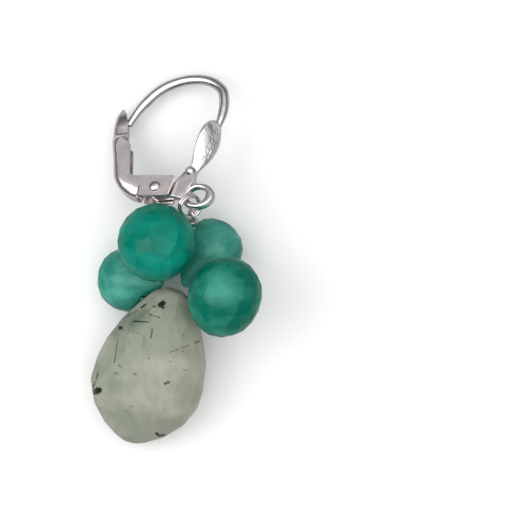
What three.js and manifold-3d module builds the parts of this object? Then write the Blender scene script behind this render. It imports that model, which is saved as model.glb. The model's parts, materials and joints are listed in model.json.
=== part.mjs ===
// Drop earring with a lever-back clasp, lying on its side on a flat surface.
// Millimetres, +Z up. +X runs across the earring, +Y from the big drop to the ear hook.
// The origin is under the middle of the earring, on the surface that it lies on.

import * as THREE from 'three';
import { ConvexGeometry } from 'three/addons/geometries/ConvexGeometry.js';
import { mergeVertices } from 'three/addons/utils/BufferGeometryUtils.js';
import Module from 'manifold-3d';

const wasm = await Module();
wasm.setup();

// Clearances
const PIVOT_GAP = 0.22;       // rivet pin to its bores
const HEAD_GAP = 0.11;        // rivet heads to the lever's cheeks
const SIDE_GAP = 0.3;         // hinge plate to the lever's cheeks
const STACK_GAP = 0.3;        // stone to the stone that it lies on
const BORE_GAP = 0.3;         // stringing wire to a stone's bore
const CRIMP_GAP = 0.2;        // twisted neck to the crimp around it

// Clasp, measured in its own plane from the rivet's axis
const CLASP_NORMAL = new THREE.Vector3(-0.28, 0.38, 0.88).normalize();
const CLASP_HEIGHT = 6.9;     // rivet's middle over the surface
const CLASP_ACROSS = -2.06;   // rivet's middle along X, from the string's middle
const CLASP_BEYOND = 1.58;    // rivet's middle past the edge of the first bead
const HOOK_WIRE = 1.2;        // wire diameter
const LOOP_RIGHT = 8.15;      // middle of the wire, furthest out
const LOOP_TOP = 14.15;       // middle of the wire, highest
const LEVER_WIDTH = 2.8;      // across both cheeks
const LEVER_SHEET = 0.45;     // wall of the channel
const LEG_BACK = 5.75;        // rivet to the outside of the lever's back
const LEG_TOP = 6.75;         // rivet to the top of the lever's back
const LEG_DEPTH = 2.35;       // cheek of the upright leg, front to back
const LEG_SHOULDER = 0.5;     // front corner of the cheek under its back corner
const LEG_PEAK = 0.4;         // middle of the cheek's top over its back corner
const LEG_PEAK_IN = 0.8;      // that middle, in from the back
const ARM_RIGHT = 2.42;       // rivet to the cheeks' right end
const ARM_LEAN = 0.97;        // how far the right end leans out from its foot to its top
const ARM_CORNER = 0.3;       // rounding of its top corner
const ARM_TOP = 1.2;          // rivet to the arm's top edge, at its right end
const ARM_RISE = 0.78;        // rise of that edge towards the leg
const ARM_FOOT = 1.24;        // rivet to the arm's lower edge, at its right end
const INSIDE_BEND = 0.7;      // rounding between the arm and the leg
const HEEL_IN = 0.35;         // back of the heel, in from the leg's back
const HEEL_TOP = 2.1;         // rivet up to where the heel's bend starts
const HEEL_BEND_X = 5.05;     // corner that the heel's bend rounds off, from the rivet
const HEEL_BEND_Y = 0.57;
const WEB_END = 2.5;          // rivet to the end of the lever's web under the arm
const WEB_FOOT = 0.98;        // rivet down to that end
const TAB_TOP = 11.2;         // rivet to the tip of the thumb tab
const TAB_WIDTH = 2.0;        // tab at its foot
const TAB_LEAN = 0.92;        // how far its tip leans in from the back
const PIN_DIAMETER = 0.56;
const RIVET_HEAD = 1.3;       // head diameter
const RIVET_HEAD_RISE = 0.28;
const PLATE_END = 1.05;       // radius of the hinge plate round the rivet
const PLATE_NECK = 0.24;      // half the plate's width under the leaf
const RING_X = 4.97;          // bottom ring's middle
const RING_Y = -1.43;
const RING_RADIUS = 1.3;      // half its height, to the middle of its band
const RING_OVAL = 1.22;       // its width against its height
const RING_BAND = 0.6;        // across the band
const RING_DEPTH = 0.72;      // along the clasp's normal
const RING_ROUND = 0.26;      // rounding of the band's edges
const RING_SIDES = 28;
const LEAF_FOOT_X = 4.5;
const LEAF_FOOT_Y = 1.6;
const LEAF_TOP_X = 7.42;
const LEAF_TOP_Y = 7.85;
const LEAF_HALF = 2.35;       // half the leaf's width at its widest
const LEAF_BULGE = 1.35;
const LEAF_BULGE_HIGH = 1.25; // above 1 the bulge is nearer the leaf's top
const LEAF_CURVE = 1.5;       // above 1 the leaf bends out towards its top
const LEAF_HOLLOW = 0.8;      // bulge of its back as a share of its front's
const LEAF_WALL = 0.6;
const KNOB_RADIUS = 0.6;

// Double jump ring and stringing wire
const JUMP_RADIUS = 1.2;      // to the middle of its wire
const JUMP_WIRE = 0.38;
const JUMP_PITCH = 0.41;
const JUMP_TURNS = 2;
const JUMP_SEAT = 232 * Math.PI / 180;    // where it holds the bottom ring
const JUMP_CROSSING = 42 * Math.PI / 180; // the way it crosses the ring's band, in the clasp's plane
const JUMP_SLACK = 0.2;       // its middle past the band's middle
const EYE_RADIUS = 0.74;      // wire eye that hangs in the jump ring
const EYE_DROP = 0.1;         // its middle below the jump ring's wire
const STRING_WIRE = 0.36;
const NECK_DIAMETER = 0.52;
const NECK_LENGTH = 1.4;
const ROUTE_STEPS = 110;      // sections of the wire and of its bore along the route
const ROUTE_SIDES = 8;
const CRIMP_START = 0.26;     // from the eye to the crimp
const CRIMP_LENGTH = 0.72;
const CRIMP_TOP = 1.5;        // outer diameters
const CRIMP_FOOT = 1.1;
const CRIMP_RIM = 0.18;       // its straight rim

// Stones. A bead's place is the middle of its widest section, depth is its width across in the lying plane,
// tip is the way its drilled end points, over lists the beads under it and lift is its height above touching them.
const BEAD_LENGTH_RATIO = 1.12;
const BEAD_SIDES = 12;
const BEADS = [
  { x: -1.98, y: 1.84, width: 9.3, depth: 9.4, tip: [0.38, -0.32, -0.87], over: [1, 3], lift: 0 },
  { x: 4.25, y: 1.2, width: 7.5, depth: 7.5, tip: [-0.56, -0.74, 0.37], over: [], lift: 0 },
  { x: 5.76, y: -4.4, width: 8.75, depth: 9.65, tip: [-0.62, 0.25, -0.74], over: [1], lift: 1.45 },
  { x: -5.56, y: -2.45, width: 7.76, depth: 7.76, tip: [0.8, -0.06, 0.58], over: [], lift: 0 },
];
const DROP_LENGTH = 19.8;
const DROP_WIDTH = 13.5;
const DROP_THICKNESS = 10.0;
const DROP_SIDES = 14;
const DROP_TIP = { x: -0.05, y: -3.7 };
const DROP_LEAN = 17 * Math.PI / 180;    // its axis, turned from -Y in the lying plane
const DROP_REST_CUT = 0.22;              // depth of the flat facet that it lies on
const DROP_NECK_HALF = 1.25;             // half its thickness at the neck
const DROP_BELLY = 0.62;                 // tip to the belly that it lies on, as a share of its length
const NECK_OVER_BEAD = 0.86;             // drop's neck over the bead below, as a share of that bead's radius

// Briolette and drop sections: how far along, and the radius as a share of the widest
const BEAD_ROWS = [
  { along: 0, radius: 0.34 },
  { along: 0.06, radius: 0.6 },
  { along: 0.17, radius: 0.84 },
  { along: 0.3, radius: 0.965 },
  { along: 0.43, radius: 1 },
  { along: 0.57, radius: 0.925 },
  { along: 0.7, radius: 0.745 },
  { along: 0.81, radius: 0.52 },
  { along: 0.91, radius: 0.295 },
  { along: 1, radius: 0.07 },
];
const BEAD_WIDEST = 0.43;
const DROP_ROWS = [
  { along: 0, radius: 0.16 },
  { along: 0.035, radius: 0.34 },
  { along: 0.13, radius: 0.53 },
  { along: 0.26, radius: 0.745 },
  { along: 0.4, radius: 0.905 },
  { along: 0.55, radius: 0.995 },
  { along: 0.68, radius: 0.985 },
  { along: 0.8, radius: 0.84 },
  { along: 0.9, radius: 0.6 },
  { along: 0.97, radius: 0.33 },
  { along: 1, radius: 0.16 },
];

// Hook wire: across from its free end to LOOP_RIGHT, up as a share of LOOP_TOP
const HOOK_ROWS = [
  { across: 0.918, up: 0.5 },
  { across: 0.975, up: 0.62 },
  { across: 1, up: 0.75 },
  { across: 0.978, up: 0.86 },
  { across: 0.905, up: 0.93 },
  { across: 0.79, up: 0.98 },
  { across: 0.6, up: 1 },
  { across: 0.409, up: 0.969 },
  { across: 0.299, up: 0.923 },
  { across: 0.198, up: 0.855 },
  { across: 0.107, up: 0.778 },
  { across: 0, up: 0.65 },
];

// Thumb tab: up from LEG_TOP to TAB_TOP, its lean as a share of TAB_LEAN and its width of TAB_WIDTH
const TAB_ROWS = [
  { along: -0.07, lean: 0.03, width: 1 },
  { along: 0.25, lean: 0.06, width: 1 },
  { along: 0.55, lean: 0.18, width: 0.88 },
  { along: 0.8, lean: 0.52, width: 0.6 },
  { along: 1, lean: 1, width: 0.25 },
];

// Rivet head from its rim to its middle: shares of its radius and of RIVET_HEAD_RISE
const RIVET_ROWS = [
  { radius: 1, rise: 0 },
  { radius: 0.92, rise: 0.55 },
  { radius: 0.6, rise: 0.9 },
  { radius: 0, rise: 1 },
];

// Leaf ornament: width as a share of LEAF_HALF, from its foot to its top
const LEAF_ROWS = [
  { along: 0, width: 0.2 },
  { along: 0.12, width: 0.24 },
  { along: 0.25, width: 0.36 },
  { along: 0.4, width: 0.58 },
  { along: 0.55, width: 0.82 },
  { along: 0.68, width: 0.97 },
  { along: 0.79, width: 1 },
  { along: 0.88, width: 0.84 },
  { along: 0.95, width: 0.56 },
  { along: 1, width: 0.26 },
];

// Route of the stringing wire through the stones, from the neck and back to it
const STRING_ROUTE = [
  [0.9, 2.5, 7.5],
  [-0.84, 0.94, 7.47],
  [-2.5, -0.2, 6.5],
  [-3.55, -1.1, 5.5],
  [-3.66, -2.6, 5.4],
  [-3.85, -4.0, 6.1],
  [-3.85, -4.85, 7.1],
  [-2.6, -5.1, 7.5],
  [0.4, -5.4, 7.55],
  [2.4, -5.6, 7.8],
  [3.5, -5.0, 8.0],
  [4.4, -3.9, 7.8],
  [5.1, -2.8, 6.6],
  [5.0, -1.6, 5.3],
  [3.65, -0.93, 4.8],
  [2.0, -0.3, 5.1],
  [1.1, 1.1, 6.6],
];

const MATERIALS = {
  silver: new THREE.MeshStandardMaterial({ color: 0xd9d6d6, roughness: 0.22, metalness: 1 }),
  green: new THREE.MeshStandardMaterial({ color: 0x1d8c72, roughness: 0.12, metalness: 0 }),
  pale: new THREE.MeshStandardMaterial({ color: 0xa7ab95, roughness: 0.2, metalness: 0 }),
};

/** A closed three.js geometry as a solid that can be cut and joined. */
function solid(geometry) {
  const bare = geometry.clone();
  bare.deleteAttribute('normal');
  bare.deleteAttribute('uv');
  const merged = mergeVertices(bare, 1e-4);
  return new wasm.Manifold(new wasm.Mesh({
    numProp: 3,
    vertProperties: new Float32Array(merged.attributes.position.array),
    triVerts: new Uint32Array(merged.index.array),
  }));
}

/** A solid back as a three.js geometry. */
function geometryOf(body) {
  const mesh = body.getMesh();
  const geometry = new THREE.BufferGeometry();
  geometry.setAttribute('position', new THREE.BufferAttribute(mesh.vertProperties.slice(), 3));
  geometry.setIndex(new THREE.BufferAttribute(mesh.triVerts.slice(), 1));
  geometry.computeVertexNormals();
  return geometry;
}

/** A named mesh of one solid or geometry. */
function piece(name, shape, material) {
  const geometry = shape.isBufferGeometry ? shape : geometryOf(shape);
  const mesh = new THREE.Mesh(geometry, material);
  mesh.name = name;
  return mesh;
}

/** A round tube with closed ends along a curve. */
function tube(curve, diameter, sides, steps) {
  const section = new THREE.Shape(circle(diameter / 2, sides));
  return solid(new THREE.ExtrudeGeometry(section, { extrudePath: curve, steps, bevelEnabled: false }));
}

/** Corners of a regular polygon round the origin. */
function circle(radius, sides) {
  return Array.from({ length: sides }, (_, i) => {
    const angle = 2 * Math.PI * i / sides;
    return new THREE.Vector2(radius * Math.cos(angle), radius * Math.sin(angle));
  });
}

/** A flat outline made thick, centred on the clasp's plane. */
function slab(outline, thickness) {
  const geometry = new THREE.ExtrudeGeometry(outline, { depth: thickness, bevelEnabled: false, curveSegments: 8 });
  geometry.translate(0, 0, -thickness / 2);
  return solid(geometry);
}

/** A cylinder along the clasp's normal, round the rivet's axis. */
function pivotBore(length) {
  const geometry = new THREE.CylinderGeometry(PIN_DIAMETER / 2 + PIVOT_GAP, PIN_DIAMETER / 2 + PIVOT_GAP, length, 16);
  geometry.rotateX(Math.PI / 2);
  return solid(geometry);
}

/** A closed skin over a row of sections that all have the same number of points. */
function loft(sections) {
  const count = sections[0].length;
  const middleOf = (section) => section
    .reduce((sum, point) => sum.add(point), new THREE.Vector3())
    .divideScalar(count);
  const points = [...sections.flat(), middleOf(sections[0]), middleOf(sections.at(-1))];
  const firstMiddle = points.length - 2;
  const lastRow = (sections.length - 1) * count;
  const faces = [];
  for (let i = 0; i < count; i += 1) {
    const j = (i + 1) % count;
    faces.push(firstMiddle, j, i);
    faces.push(firstMiddle + 1, lastRow + i, lastRow + j);
    for (let row = 0; row < sections.length - 1; row += 1) {
      const a = row * count;
      faces.push(a + i, a + j, a + count + j, a + i, a + count + j, a + count + i);
    }
  }
  const geometry = new THREE.BufferGeometry().setFromPoints(points);
  geometry.setIndex(faces);
  return solid(geometry);
}

/** Hook, leaf ornament, hinge plate and bottom ring, soldered into one. */
function earHook() {
  const freeEnd = -(LEG_BACK - LEVER_SHEET - SIDE_GAP - HOOK_WIRE);
  const path = HOOK_ROWS.map(({ across, up }) => new THREE.Vector3(
    freeEnd + across * (LOOP_RIGHT - freeEnd),
    up * LOOP_TOP,
    0,
  ));
  const wire = tube(new THREE.CatmullRomCurve3(path, false, 'centripetal'), HOOK_WIRE, 12, 44);

  const plateThickness = LEVER_WIDTH - 2 * LEVER_SHEET - 2 * SIDE_GAP;
  const outline = new THREE.Shape();
  outline.absarc(0, 0, PLATE_END, Math.PI / 2, -Math.PI / 2, false);
  outline.lineTo(ARM_RIGHT, -PLATE_END);
  outline.lineTo(RING_X - RING_RADIUS, RING_Y / 2);
  outline.lineTo(RING_X, RING_Y + RING_RADIUS);
  outline.lineTo(LEAF_FOOT_X + PLATE_NECK, LEAF_FOOT_Y / 2);
  outline.lineTo(LEAF_FOOT_X + PLATE_NECK, LEAF_FOOT_Y);
  outline.lineTo(LEAF_FOOT_X - KNOB_RADIUS, LEAF_FOOT_Y + KNOB_RADIUS / 2);
  outline.lineTo(ARM_RIGHT, PLATE_END);
  const plate = slab(outline, plateThickness).subtract(pivotBore(LEVER_WIDTH));

  const inside = RING_RADIUS - RING_BAND / 2;
  const hole = new THREE.CylinderGeometry(inside, inside, LEVER_WIDTH, RING_SIDES);
  hole.rotateX(Math.PI / 2);
  hole.scale(RING_OVAL, 1, 1);
  hole.translate(RING_X, RING_Y, 0);
  const knob = new THREE.SphereGeometry(KNOB_RADIUS, 14, 10);
  knob.translate(LEAF_FOOT_X - KNOB_RADIUS / 2, LEAF_FOOT_Y + KNOB_RADIUS / 2, 0);
  return plate
    .subtract(solid(hole))
    .add(bottomRing())
    .add(solid(knob))
    .add(leaf())
    .add(wire);
}

/** Oval ring with flat sides and rounded edges, in one with the hinge plate. */
function bottomRing() {
  const flat = RING_DEPTH / 2 - RING_ROUND;
  const side = RING_BAND / 2 - RING_ROUND;
  const corners = [[1, 1], [-1, 1], [-1, -1], [1, -1]].flatMap(([across, along], turn) => [0, 45, 90]
    .map((degrees) => (turn * 90 + degrees) * Math.PI / 180)
    .map((angle) => new THREE.Vector2(
      RING_RADIUS + across * side + RING_ROUND * Math.cos(angle),
      along * flat + RING_ROUND * Math.sin(angle),
    )));
  const geometry = new THREE.LatheGeometry([...corners, corners[0]], RING_SIDES);
  geometry.rotateX(Math.PI / 2);
  geometry.scale(RING_OVAL, 1, 1);
  geometry.translate(RING_X, RING_Y, 0);
  return solid(geometry);
}

/** Domed leaf that faces away from the ear, widest near its top. */
function leaf() {
  const foot = new THREE.Vector2(LEAF_FOOT_X, LEAF_FOOT_Y);
  const reach = new THREE.Vector2(LEAF_TOP_X, LEAF_TOP_Y).sub(foot);
  const outward = new THREE.Vector2(reach.y, -reach.x).normalize();
  const columns = 9;
  const sections = LEAF_ROWS.map(({ along, width }) => {
    const middle = new THREE.Vector2(foot.x + reach.x * along ** LEAF_CURVE, foot.y + reach.y * along);
    const bulge = LEAF_BULGE * Math.sin(Math.PI * along ** LEAF_BULGE_HIGH);
    const arc = (height, direction) => Array.from({ length: columns }, (_, i) => {
      const share = direction * (2 * i / (columns - 1) - 1);
      const rise = height * (1 - share * share);
      return new THREE.Vector3(
        middle.x + outward.x * rise,
        middle.y + outward.y * rise,
        share * width * LEAF_HALF,
      );
    });
    const front = arc(bulge + LEAF_WALL / 2, 1);
    const back = arc(bulge * LEAF_HOLLOW, -1).map((point) => point
      .add(new THREE.Vector3(-outward.x * LEAF_WALL, -outward.y * LEAF_WALL, 0)));
    return [...front, ...back].reverse();
  });
  return loft(sections);
}

/** L-shaped channel that swings on the rivet, with a pointed thumb tab. */
function lever() {
  const front = LEG_BACK - LEG_DEPTH;
  const heel = LEG_BACK - HEEL_IN;
  const bendTop = ARM_TOP + ARM_RISE;
  const cheek = new THREE.Shape();
  cheek.moveTo(ARM_RIGHT - ARM_LEAN, -ARM_FOOT);
  cheek.lineTo(ARM_RIGHT, ARM_TOP - ARM_CORNER);
  cheek.quadraticCurveTo(ARM_RIGHT, ARM_TOP, ARM_RIGHT - ARM_CORNER, ARM_TOP);
  cheek.lineTo(-front + INSIDE_BEND, bendTop);
  cheek.quadraticCurveTo(-front, bendTop, -front, bendTop + INSIDE_BEND);
  cheek.lineTo(-front, LEG_TOP - LEG_SHOULDER);
  cheek.lineTo(-LEG_BACK + LEG_PEAK_IN, LEG_TOP + LEG_PEAK);
  cheek.lineTo(-LEG_BACK, LEG_TOP);
  cheek.lineTo(-heel, HEEL_TOP);
  cheek.quadraticCurveTo(-HEEL_BEND_X, -HEEL_BEND_Y, -WEB_END, -WEB_FOOT);

  const beyond = 2 * LEG_BACK;
  const channel = new THREE.Shape();
  channel.moveTo(beyond, -beyond);
  channel.lineTo(beyond, beyond);
  channel.lineTo(-LEG_BACK + LEVER_SHEET, beyond);
  channel.lineTo(-LEG_BACK + LEVER_SHEET, LEG_TOP);
  channel.lineTo(-heel + LEVER_SHEET, HEEL_TOP);
  channel.quadraticCurveTo(
    -HEEL_BEND_X + LEVER_SHEET,
    -HEEL_BEND_Y + LEVER_SHEET,
    -WEB_END,
    -WEB_FOOT + LEVER_SHEET,
  );
  channel.lineTo(-WEB_END, -beyond);

  const tab = loft(TAB_ROWS.map(({ along, lean, width }) => {
    const up = LEG_TOP + along * (TAB_TOP - LEG_TOP);
    const back = -LEG_BACK + lean * TAB_LEAN;
    const half = width * TAB_WIDTH / 2;
    return [
      new THREE.Vector3(back + LEVER_SHEET, up, half),
      new THREE.Vector3(back + LEVER_SHEET, up, -half),
      new THREE.Vector3(back, up, -half),
      new THREE.Vector3(back, up, half),
    ];
  }));
  return slab(cheek, LEVER_WIDTH)
    .subtract(slab(channel, LEVER_WIDTH - 2 * LEVER_SHEET))
    .subtract(pivotBore(2 * LEVER_WIDTH))
    .add(tab);
}

/** Rivet with two low domed heads. */
function rivet() {
  const face = LEVER_WIDTH / 2 + HEAD_GAP;
  const half = [
    new THREE.Vector2(PIN_DIAMETER / 2, face),
    ...RIVET_ROWS.map(({ radius, rise }) => new THREE.Vector2(
      radius * RIVET_HEAD / 2,
      face + rise * RIVET_HEAD_RISE,
    )),
  ];
  const mirrored = half.map(({ x, y }) => new THREE.Vector2(x, -y)).reverse();
  const geometry = new THREE.LatheGeometry([...mirrored, ...half], 16);
  geometry.rotateX(Math.PI / 2);
  return solid(geometry);
}

/** Two turns of wire side by side, round the given middle and axis. */
function jumpRing(middle, axis, start) {
  const side = new THREE.Vector3().crossVectors(axis, start);
  const steps = 16 * JUMP_TURNS;
  const hangingTurn = JUMP_TURNS / 2 + 0.25;    // where the turns lie either side of the ring's middle
  const points = Array.from({ length: steps + 1 }, (_, i) => {
    const turn = (i / steps) * JUMP_TURNS;
    const angle = 2 * Math.PI * turn;
    return middle.clone()
      .addScaledVector(start, JUMP_RADIUS * Math.cos(angle))
      .addScaledVector(side, JUMP_RADIUS * Math.sin(angle))
      .addScaledVector(axis, JUMP_PITCH * (turn - hangingTurn));
  });
  return tube(new THREE.CatmullRomCurve3(points), JUMP_WIRE, 6, 2 * steps);
}

/** A faceted stone of staggered rows, along +Z from its table to its tip. */
function cutStone(rows, length, width, thickness, sides) {
  const points = rows.flatMap(({ along, radius }, row) => circle(radius, sides)
    .map((corner) => corner.rotateAround(new THREE.Vector2(), (row % 2) * Math.PI / sides))
    .map((corner) => new THREE.Vector3(corner.x * width / 2, corner.y * thickness / 2, along * length)));
  return new ConvexGeometry(points);
}

/** Turns a geometry's +Z along a direction, and its +X as near as it goes to another. */
function aim(geometry, direction, across) {
  const forward = direction.clone().normalize();
  const right = across.clone().addScaledVector(forward, -across.dot(forward)).normalize();
  const up = new THREE.Vector3().crossVectors(forward, right);
  geometry.applyMatrix4(new THREE.Matrix4().makeBasis(right, up, forward));
  return geometry;
}

/** The four green beads, each with its place worked out from what it lies on. */
function placedBeads() {
  const shapes = BEADS.map((bead, index) => {
    const geometry = cutStone(
      BEAD_ROWS,
      bead.width * BEAD_LENGTH_RATIO,
      bead.width,
      bead.depth,
      BEAD_SIDES,
    );
    geometry.translate(0, 0, -BEAD_WIDEST * bead.width * BEAD_LENGTH_RATIO);
    aim(geometry, new THREE.Vector3(...bead.tip), new THREE.Vector3(0, 0, 1));
    geometry.computeBoundingBox();
    const name = `green_briolette_${index + 1}`;
    return { ...bead, name, geometry, height: -geometry.boundingBox.min.z };
  });
  for (const bead of shapes.filter(({ over }) => over.length > 0)) {
    bead.height = bead.lift + Math.max(...bead.over.map((lower) => {
      const below = shapes[lower];
      const reach = (bead.width + below.width) / 2 + STACK_GAP;
      const aside = Math.hypot(bead.x - below.x, bead.y - below.y);
      return below.height + Math.sqrt(Math.max(reach * reach - aside * aside, 0));
    }));
  }
  for (const bead of shapes) {
    bead.geometry.translate(bead.x, bead.y, bead.height);
  }
  return shapes;
}

/** The big drop, its neck held up by the bead under it and its belly flat on the surface. */
function bigDrop(bead) {
  const geometry = cutStone(DROP_ROWS, DROP_LENGTH, DROP_WIDTH, DROP_THICKNESS, DROP_SIDES);
  const neckHeight = bead.height + NECK_OVER_BEAD * bead.width / 2 + DROP_NECK_HALF;
  const bellyHeight = DROP_THICKNESS / 2 - DROP_REST_CUT;
  const rise = Math.asin((neckHeight - bellyHeight) / (DROP_BELLY * DROP_LENGTH));
  const axis = new THREE.Vector3(
    -Math.sin(DROP_LEAN) * Math.cos(rise),
    -Math.cos(DROP_LEAN) * Math.cos(rise),
    -Math.sin(rise),
  );
  aim(geometry, axis, new THREE.Vector3(1, 0, 0));
  geometry.computeBoundingBox();
  geometry.translate(DROP_TIP.x, DROP_TIP.y, -geometry.boundingBox.min.z - DROP_REST_CUT);
  const below = new THREE.BoxGeometry(3 * DROP_LENGTH, 3 * DROP_LENGTH, DROP_LENGTH);
  below.translate(DROP_TIP.x, DROP_TIP.y, -DROP_LENGTH / 2);
  return solid(geometry).subtract(solid(below));
}

/** Eye, twisted neck and the loop through the stones, as one piece of wire. */
function stoneWire(eyeMiddle, neckWay, eyeAxis, route) {
  const eye = new THREE.TorusGeometry(EYE_RADIUS, STRING_WIRE / 2, 8, 20);
  aim(eye, eyeAxis, neckWay);
  eye.translate(eyeMiddle.x, eyeMiddle.y, eyeMiddle.z);
  const neckTop = eyeMiddle.clone().addScaledVector(neckWay, EYE_RADIUS);
  const neckFoot = neckTop.clone().addScaledVector(neckWay, NECK_LENGTH);
  const neck = tube(new THREE.LineCurve3(neckTop, neckFoot), NECK_DIAMETER, 10, 1);
  return solid(eye).add(neck).add(tube(route, STRING_WIRE, ROUTE_SIDES, ROUTE_STEPS));
}

/** Short tapered sleeve over the twisted neck. */
function crimp(neckWay, start) {
  const bore = NECK_DIAMETER / 2 + CRIMP_GAP;
  const profile = [
    [bore, 0],
    [CRIMP_TOP / 2, 0],
    [CRIMP_TOP / 2, CRIMP_RIM],
    [CRIMP_FOOT / 2, CRIMP_LENGTH],
    [bore, CRIMP_LENGTH],
    [bore, 0],
  ].map(([radius, height]) => new THREE.Vector2(radius, height));
  const geometry = new THREE.LatheGeometry(profile, 14);
  geometry.rotateX(Math.PI / 2);
  aim(geometry, neckWay, new THREE.Vector3(1, 0, 0));
  geometry.translate(start.x, start.y, start.z);
  return solid(geometry);
}

const beads = placedBeads();

// The clasp's plane: its right and up directions, and where the rivet lies
const right = new THREE.Vector3(1, 0, 0)
  .addScaledVector(CLASP_NORMAL, -CLASP_NORMAL.x)
  .normalize();
const up = new THREE.Vector3().crossVectors(CLASP_NORMAL, right);
const pivot = new THREE.Vector3(
  CLASP_ACROSS,
  BEADS[0].y + BEADS[0].width / 2 + CLASP_BEYOND,
  CLASP_HEIGHT,
);
const clasp = new THREE.Group();
clasp.quaternion.setFromRotationMatrix(new THREE.Matrix4().makeBasis(right, up, CLASP_NORMAL));
clasp.position.copy(pivot);
clasp.add(piece('ear_hook', earHook(), MATERIALS.silver));
clasp.add(piece('lever', lever(), MATERIALS.silver));
clasp.add(piece('rivet', rivet(), MATERIALS.silver));

/** A point or direction of the clasp's plane, turned into the lying earring's axes. */
const inPlane = (x, y) => new THREE.Vector3().addScaledVector(right, x).addScaledVector(up, y);

// Jump ring through the lower left of the bottom ring, pulled towards the stones
const loopTop = new THREE.Vector3(2.15, 3.7, 7.4);
const band = pivot.clone().add(inPlane(
  RING_X + RING_OVAL * RING_RADIUS * Math.cos(JUMP_SEAT),
  RING_Y + RING_RADIUS * Math.sin(JUMP_SEAT),
));
const pullWay = loopTop.clone().sub(band).normalize();
const jumpMiddle = band.clone().addScaledVector(pullWay, JUMP_SLACK);
const crossing = inPlane(Math.cos(JUMP_CROSSING), Math.sin(JUMP_CROSSING));
const jumpAxis = new THREE.Vector3().crossVectors(pullWay, crossing).normalize();
const jumpStart = new THREE.Vector3().crossVectors(jumpAxis, pullWay);

// Wire eye at the jump ring's lowest side, and the neck that leads to the stones
const eyeMiddle = jumpMiddle.clone().addScaledVector(pullWay, JUMP_RADIUS + EYE_DROP);
const neckTop = eyeMiddle.clone().addScaledVector(pullWay, EYE_RADIUS);
const neckFoot = neckTop.clone().addScaledVector(pullWay, NECK_LENGTH - STRING_WIRE / 2);
const route = new THREE.CatmullRomCurve3(
  [neckFoot, ...STRING_ROUTE.map((point) => new THREE.Vector3(...point)), neckFoot],
  false,
  'centripetal',
);
const bore = tube(route, STRING_WIRE + 2 * BORE_GAP, ROUTE_SIDES, ROUTE_STEPS);

const layout = new THREE.Group();
layout.add(clasp);
layout.add(piece('jump_ring', jumpRing(jumpMiddle, jumpAxis, jumpStart), MATERIALS.silver));
layout.add(piece('stone_wire', stoneWire(eyeMiddle, pullWay, jumpStart, route), MATERIALS.silver));
layout.add(piece('crimp', crimp(pullWay, neckTop.clone().addScaledVector(pullWay, CRIMP_START)), MATERIALS.silver));
for (const bead of beads) {
  layout.add(piece(bead.name, solid(bead.geometry).subtract(bore), MATERIALS.green));
}
layout.add(piece('teardrop', bigDrop(beads[3]).subtract(bore), MATERIALS.pale));

// The origin goes under the middle of the earring
layout.updateMatrixWorld(true);
const box = new THREE.Box3().setFromObject(layout, true);
layout.position.set(-(box.min.x + box.max.x) / 2, -(box.min.y + box.max.y) / 2, -box.min.z);

const group = new THREE.Group();
group.add(layout);

export default group;
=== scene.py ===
"""Looks of the drop earring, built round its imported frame.

Lengths are in millimetres and turn into metres where a mesh is made. Points of the clasp are given in its
own plane: x to the right and y up from the rivet's middle, z along the clasp's normal. Points of the stones
and of the wire are given in the layout that the part is drawn in. Layout moves them into the part's frame.
"""

import json
import logging
import math
from collections.abc import Callable
from collections.abc import Sequence
from dataclasses import dataclass
from dataclasses import field
from enum import Enum

import bmesh
import bpy
from mathutils import Matrix
from mathutils import Vector
from mathutils import noise
from mathutils.bvhtree import BVHTree


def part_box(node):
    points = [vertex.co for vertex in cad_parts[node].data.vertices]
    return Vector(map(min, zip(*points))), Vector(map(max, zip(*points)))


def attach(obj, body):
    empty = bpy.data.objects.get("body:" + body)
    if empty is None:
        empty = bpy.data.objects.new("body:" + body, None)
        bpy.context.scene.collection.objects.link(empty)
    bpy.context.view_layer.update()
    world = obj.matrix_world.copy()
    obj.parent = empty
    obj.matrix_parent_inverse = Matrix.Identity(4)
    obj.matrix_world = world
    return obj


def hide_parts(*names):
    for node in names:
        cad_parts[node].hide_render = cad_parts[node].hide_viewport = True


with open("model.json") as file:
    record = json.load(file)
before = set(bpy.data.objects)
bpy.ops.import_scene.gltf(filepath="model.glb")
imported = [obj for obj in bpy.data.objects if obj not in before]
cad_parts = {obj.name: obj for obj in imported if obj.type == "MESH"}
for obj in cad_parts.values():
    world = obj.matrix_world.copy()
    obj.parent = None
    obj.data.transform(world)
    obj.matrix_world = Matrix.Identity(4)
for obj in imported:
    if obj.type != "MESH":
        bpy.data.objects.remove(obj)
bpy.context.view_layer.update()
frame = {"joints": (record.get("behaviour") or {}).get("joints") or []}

MM = 0.001
NEAR_AXIS = 0.001
TINY = 1e-6
DRAWN_PIVOT = (-2.06, 8.07, 6.9)
PHOTO_SIDE = 530
LOG = logging.getLogger("drop_earring")

Colour = tuple[float, float, float, float]
Pair = tuple[float, float]
Triple = tuple[float, float, float]


class Body(Enum):
    """Bodies of the frame that the pieces ride on."""

    EARRING = "earring"
    LEVER = "lever_arm"


class Slot(Enum):
    """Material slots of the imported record."""

    METAL = "white_metal"
    GREEN = "green_stone"
    PALE = "pale_stone"


class Shading(Enum):
    """How light runs over a piece's edges: the angle in degrees above which an edge stays crisp."""

    FACETED = 0.0
    SHEET = 38.0
    ROUND = 180.0


class Inside(Enum):
    """What an inclusion of the pale stone is."""

    NEEDLE = "needle"
    RUST = "rust"
    SMOKE = "smoke"


# Places


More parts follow.
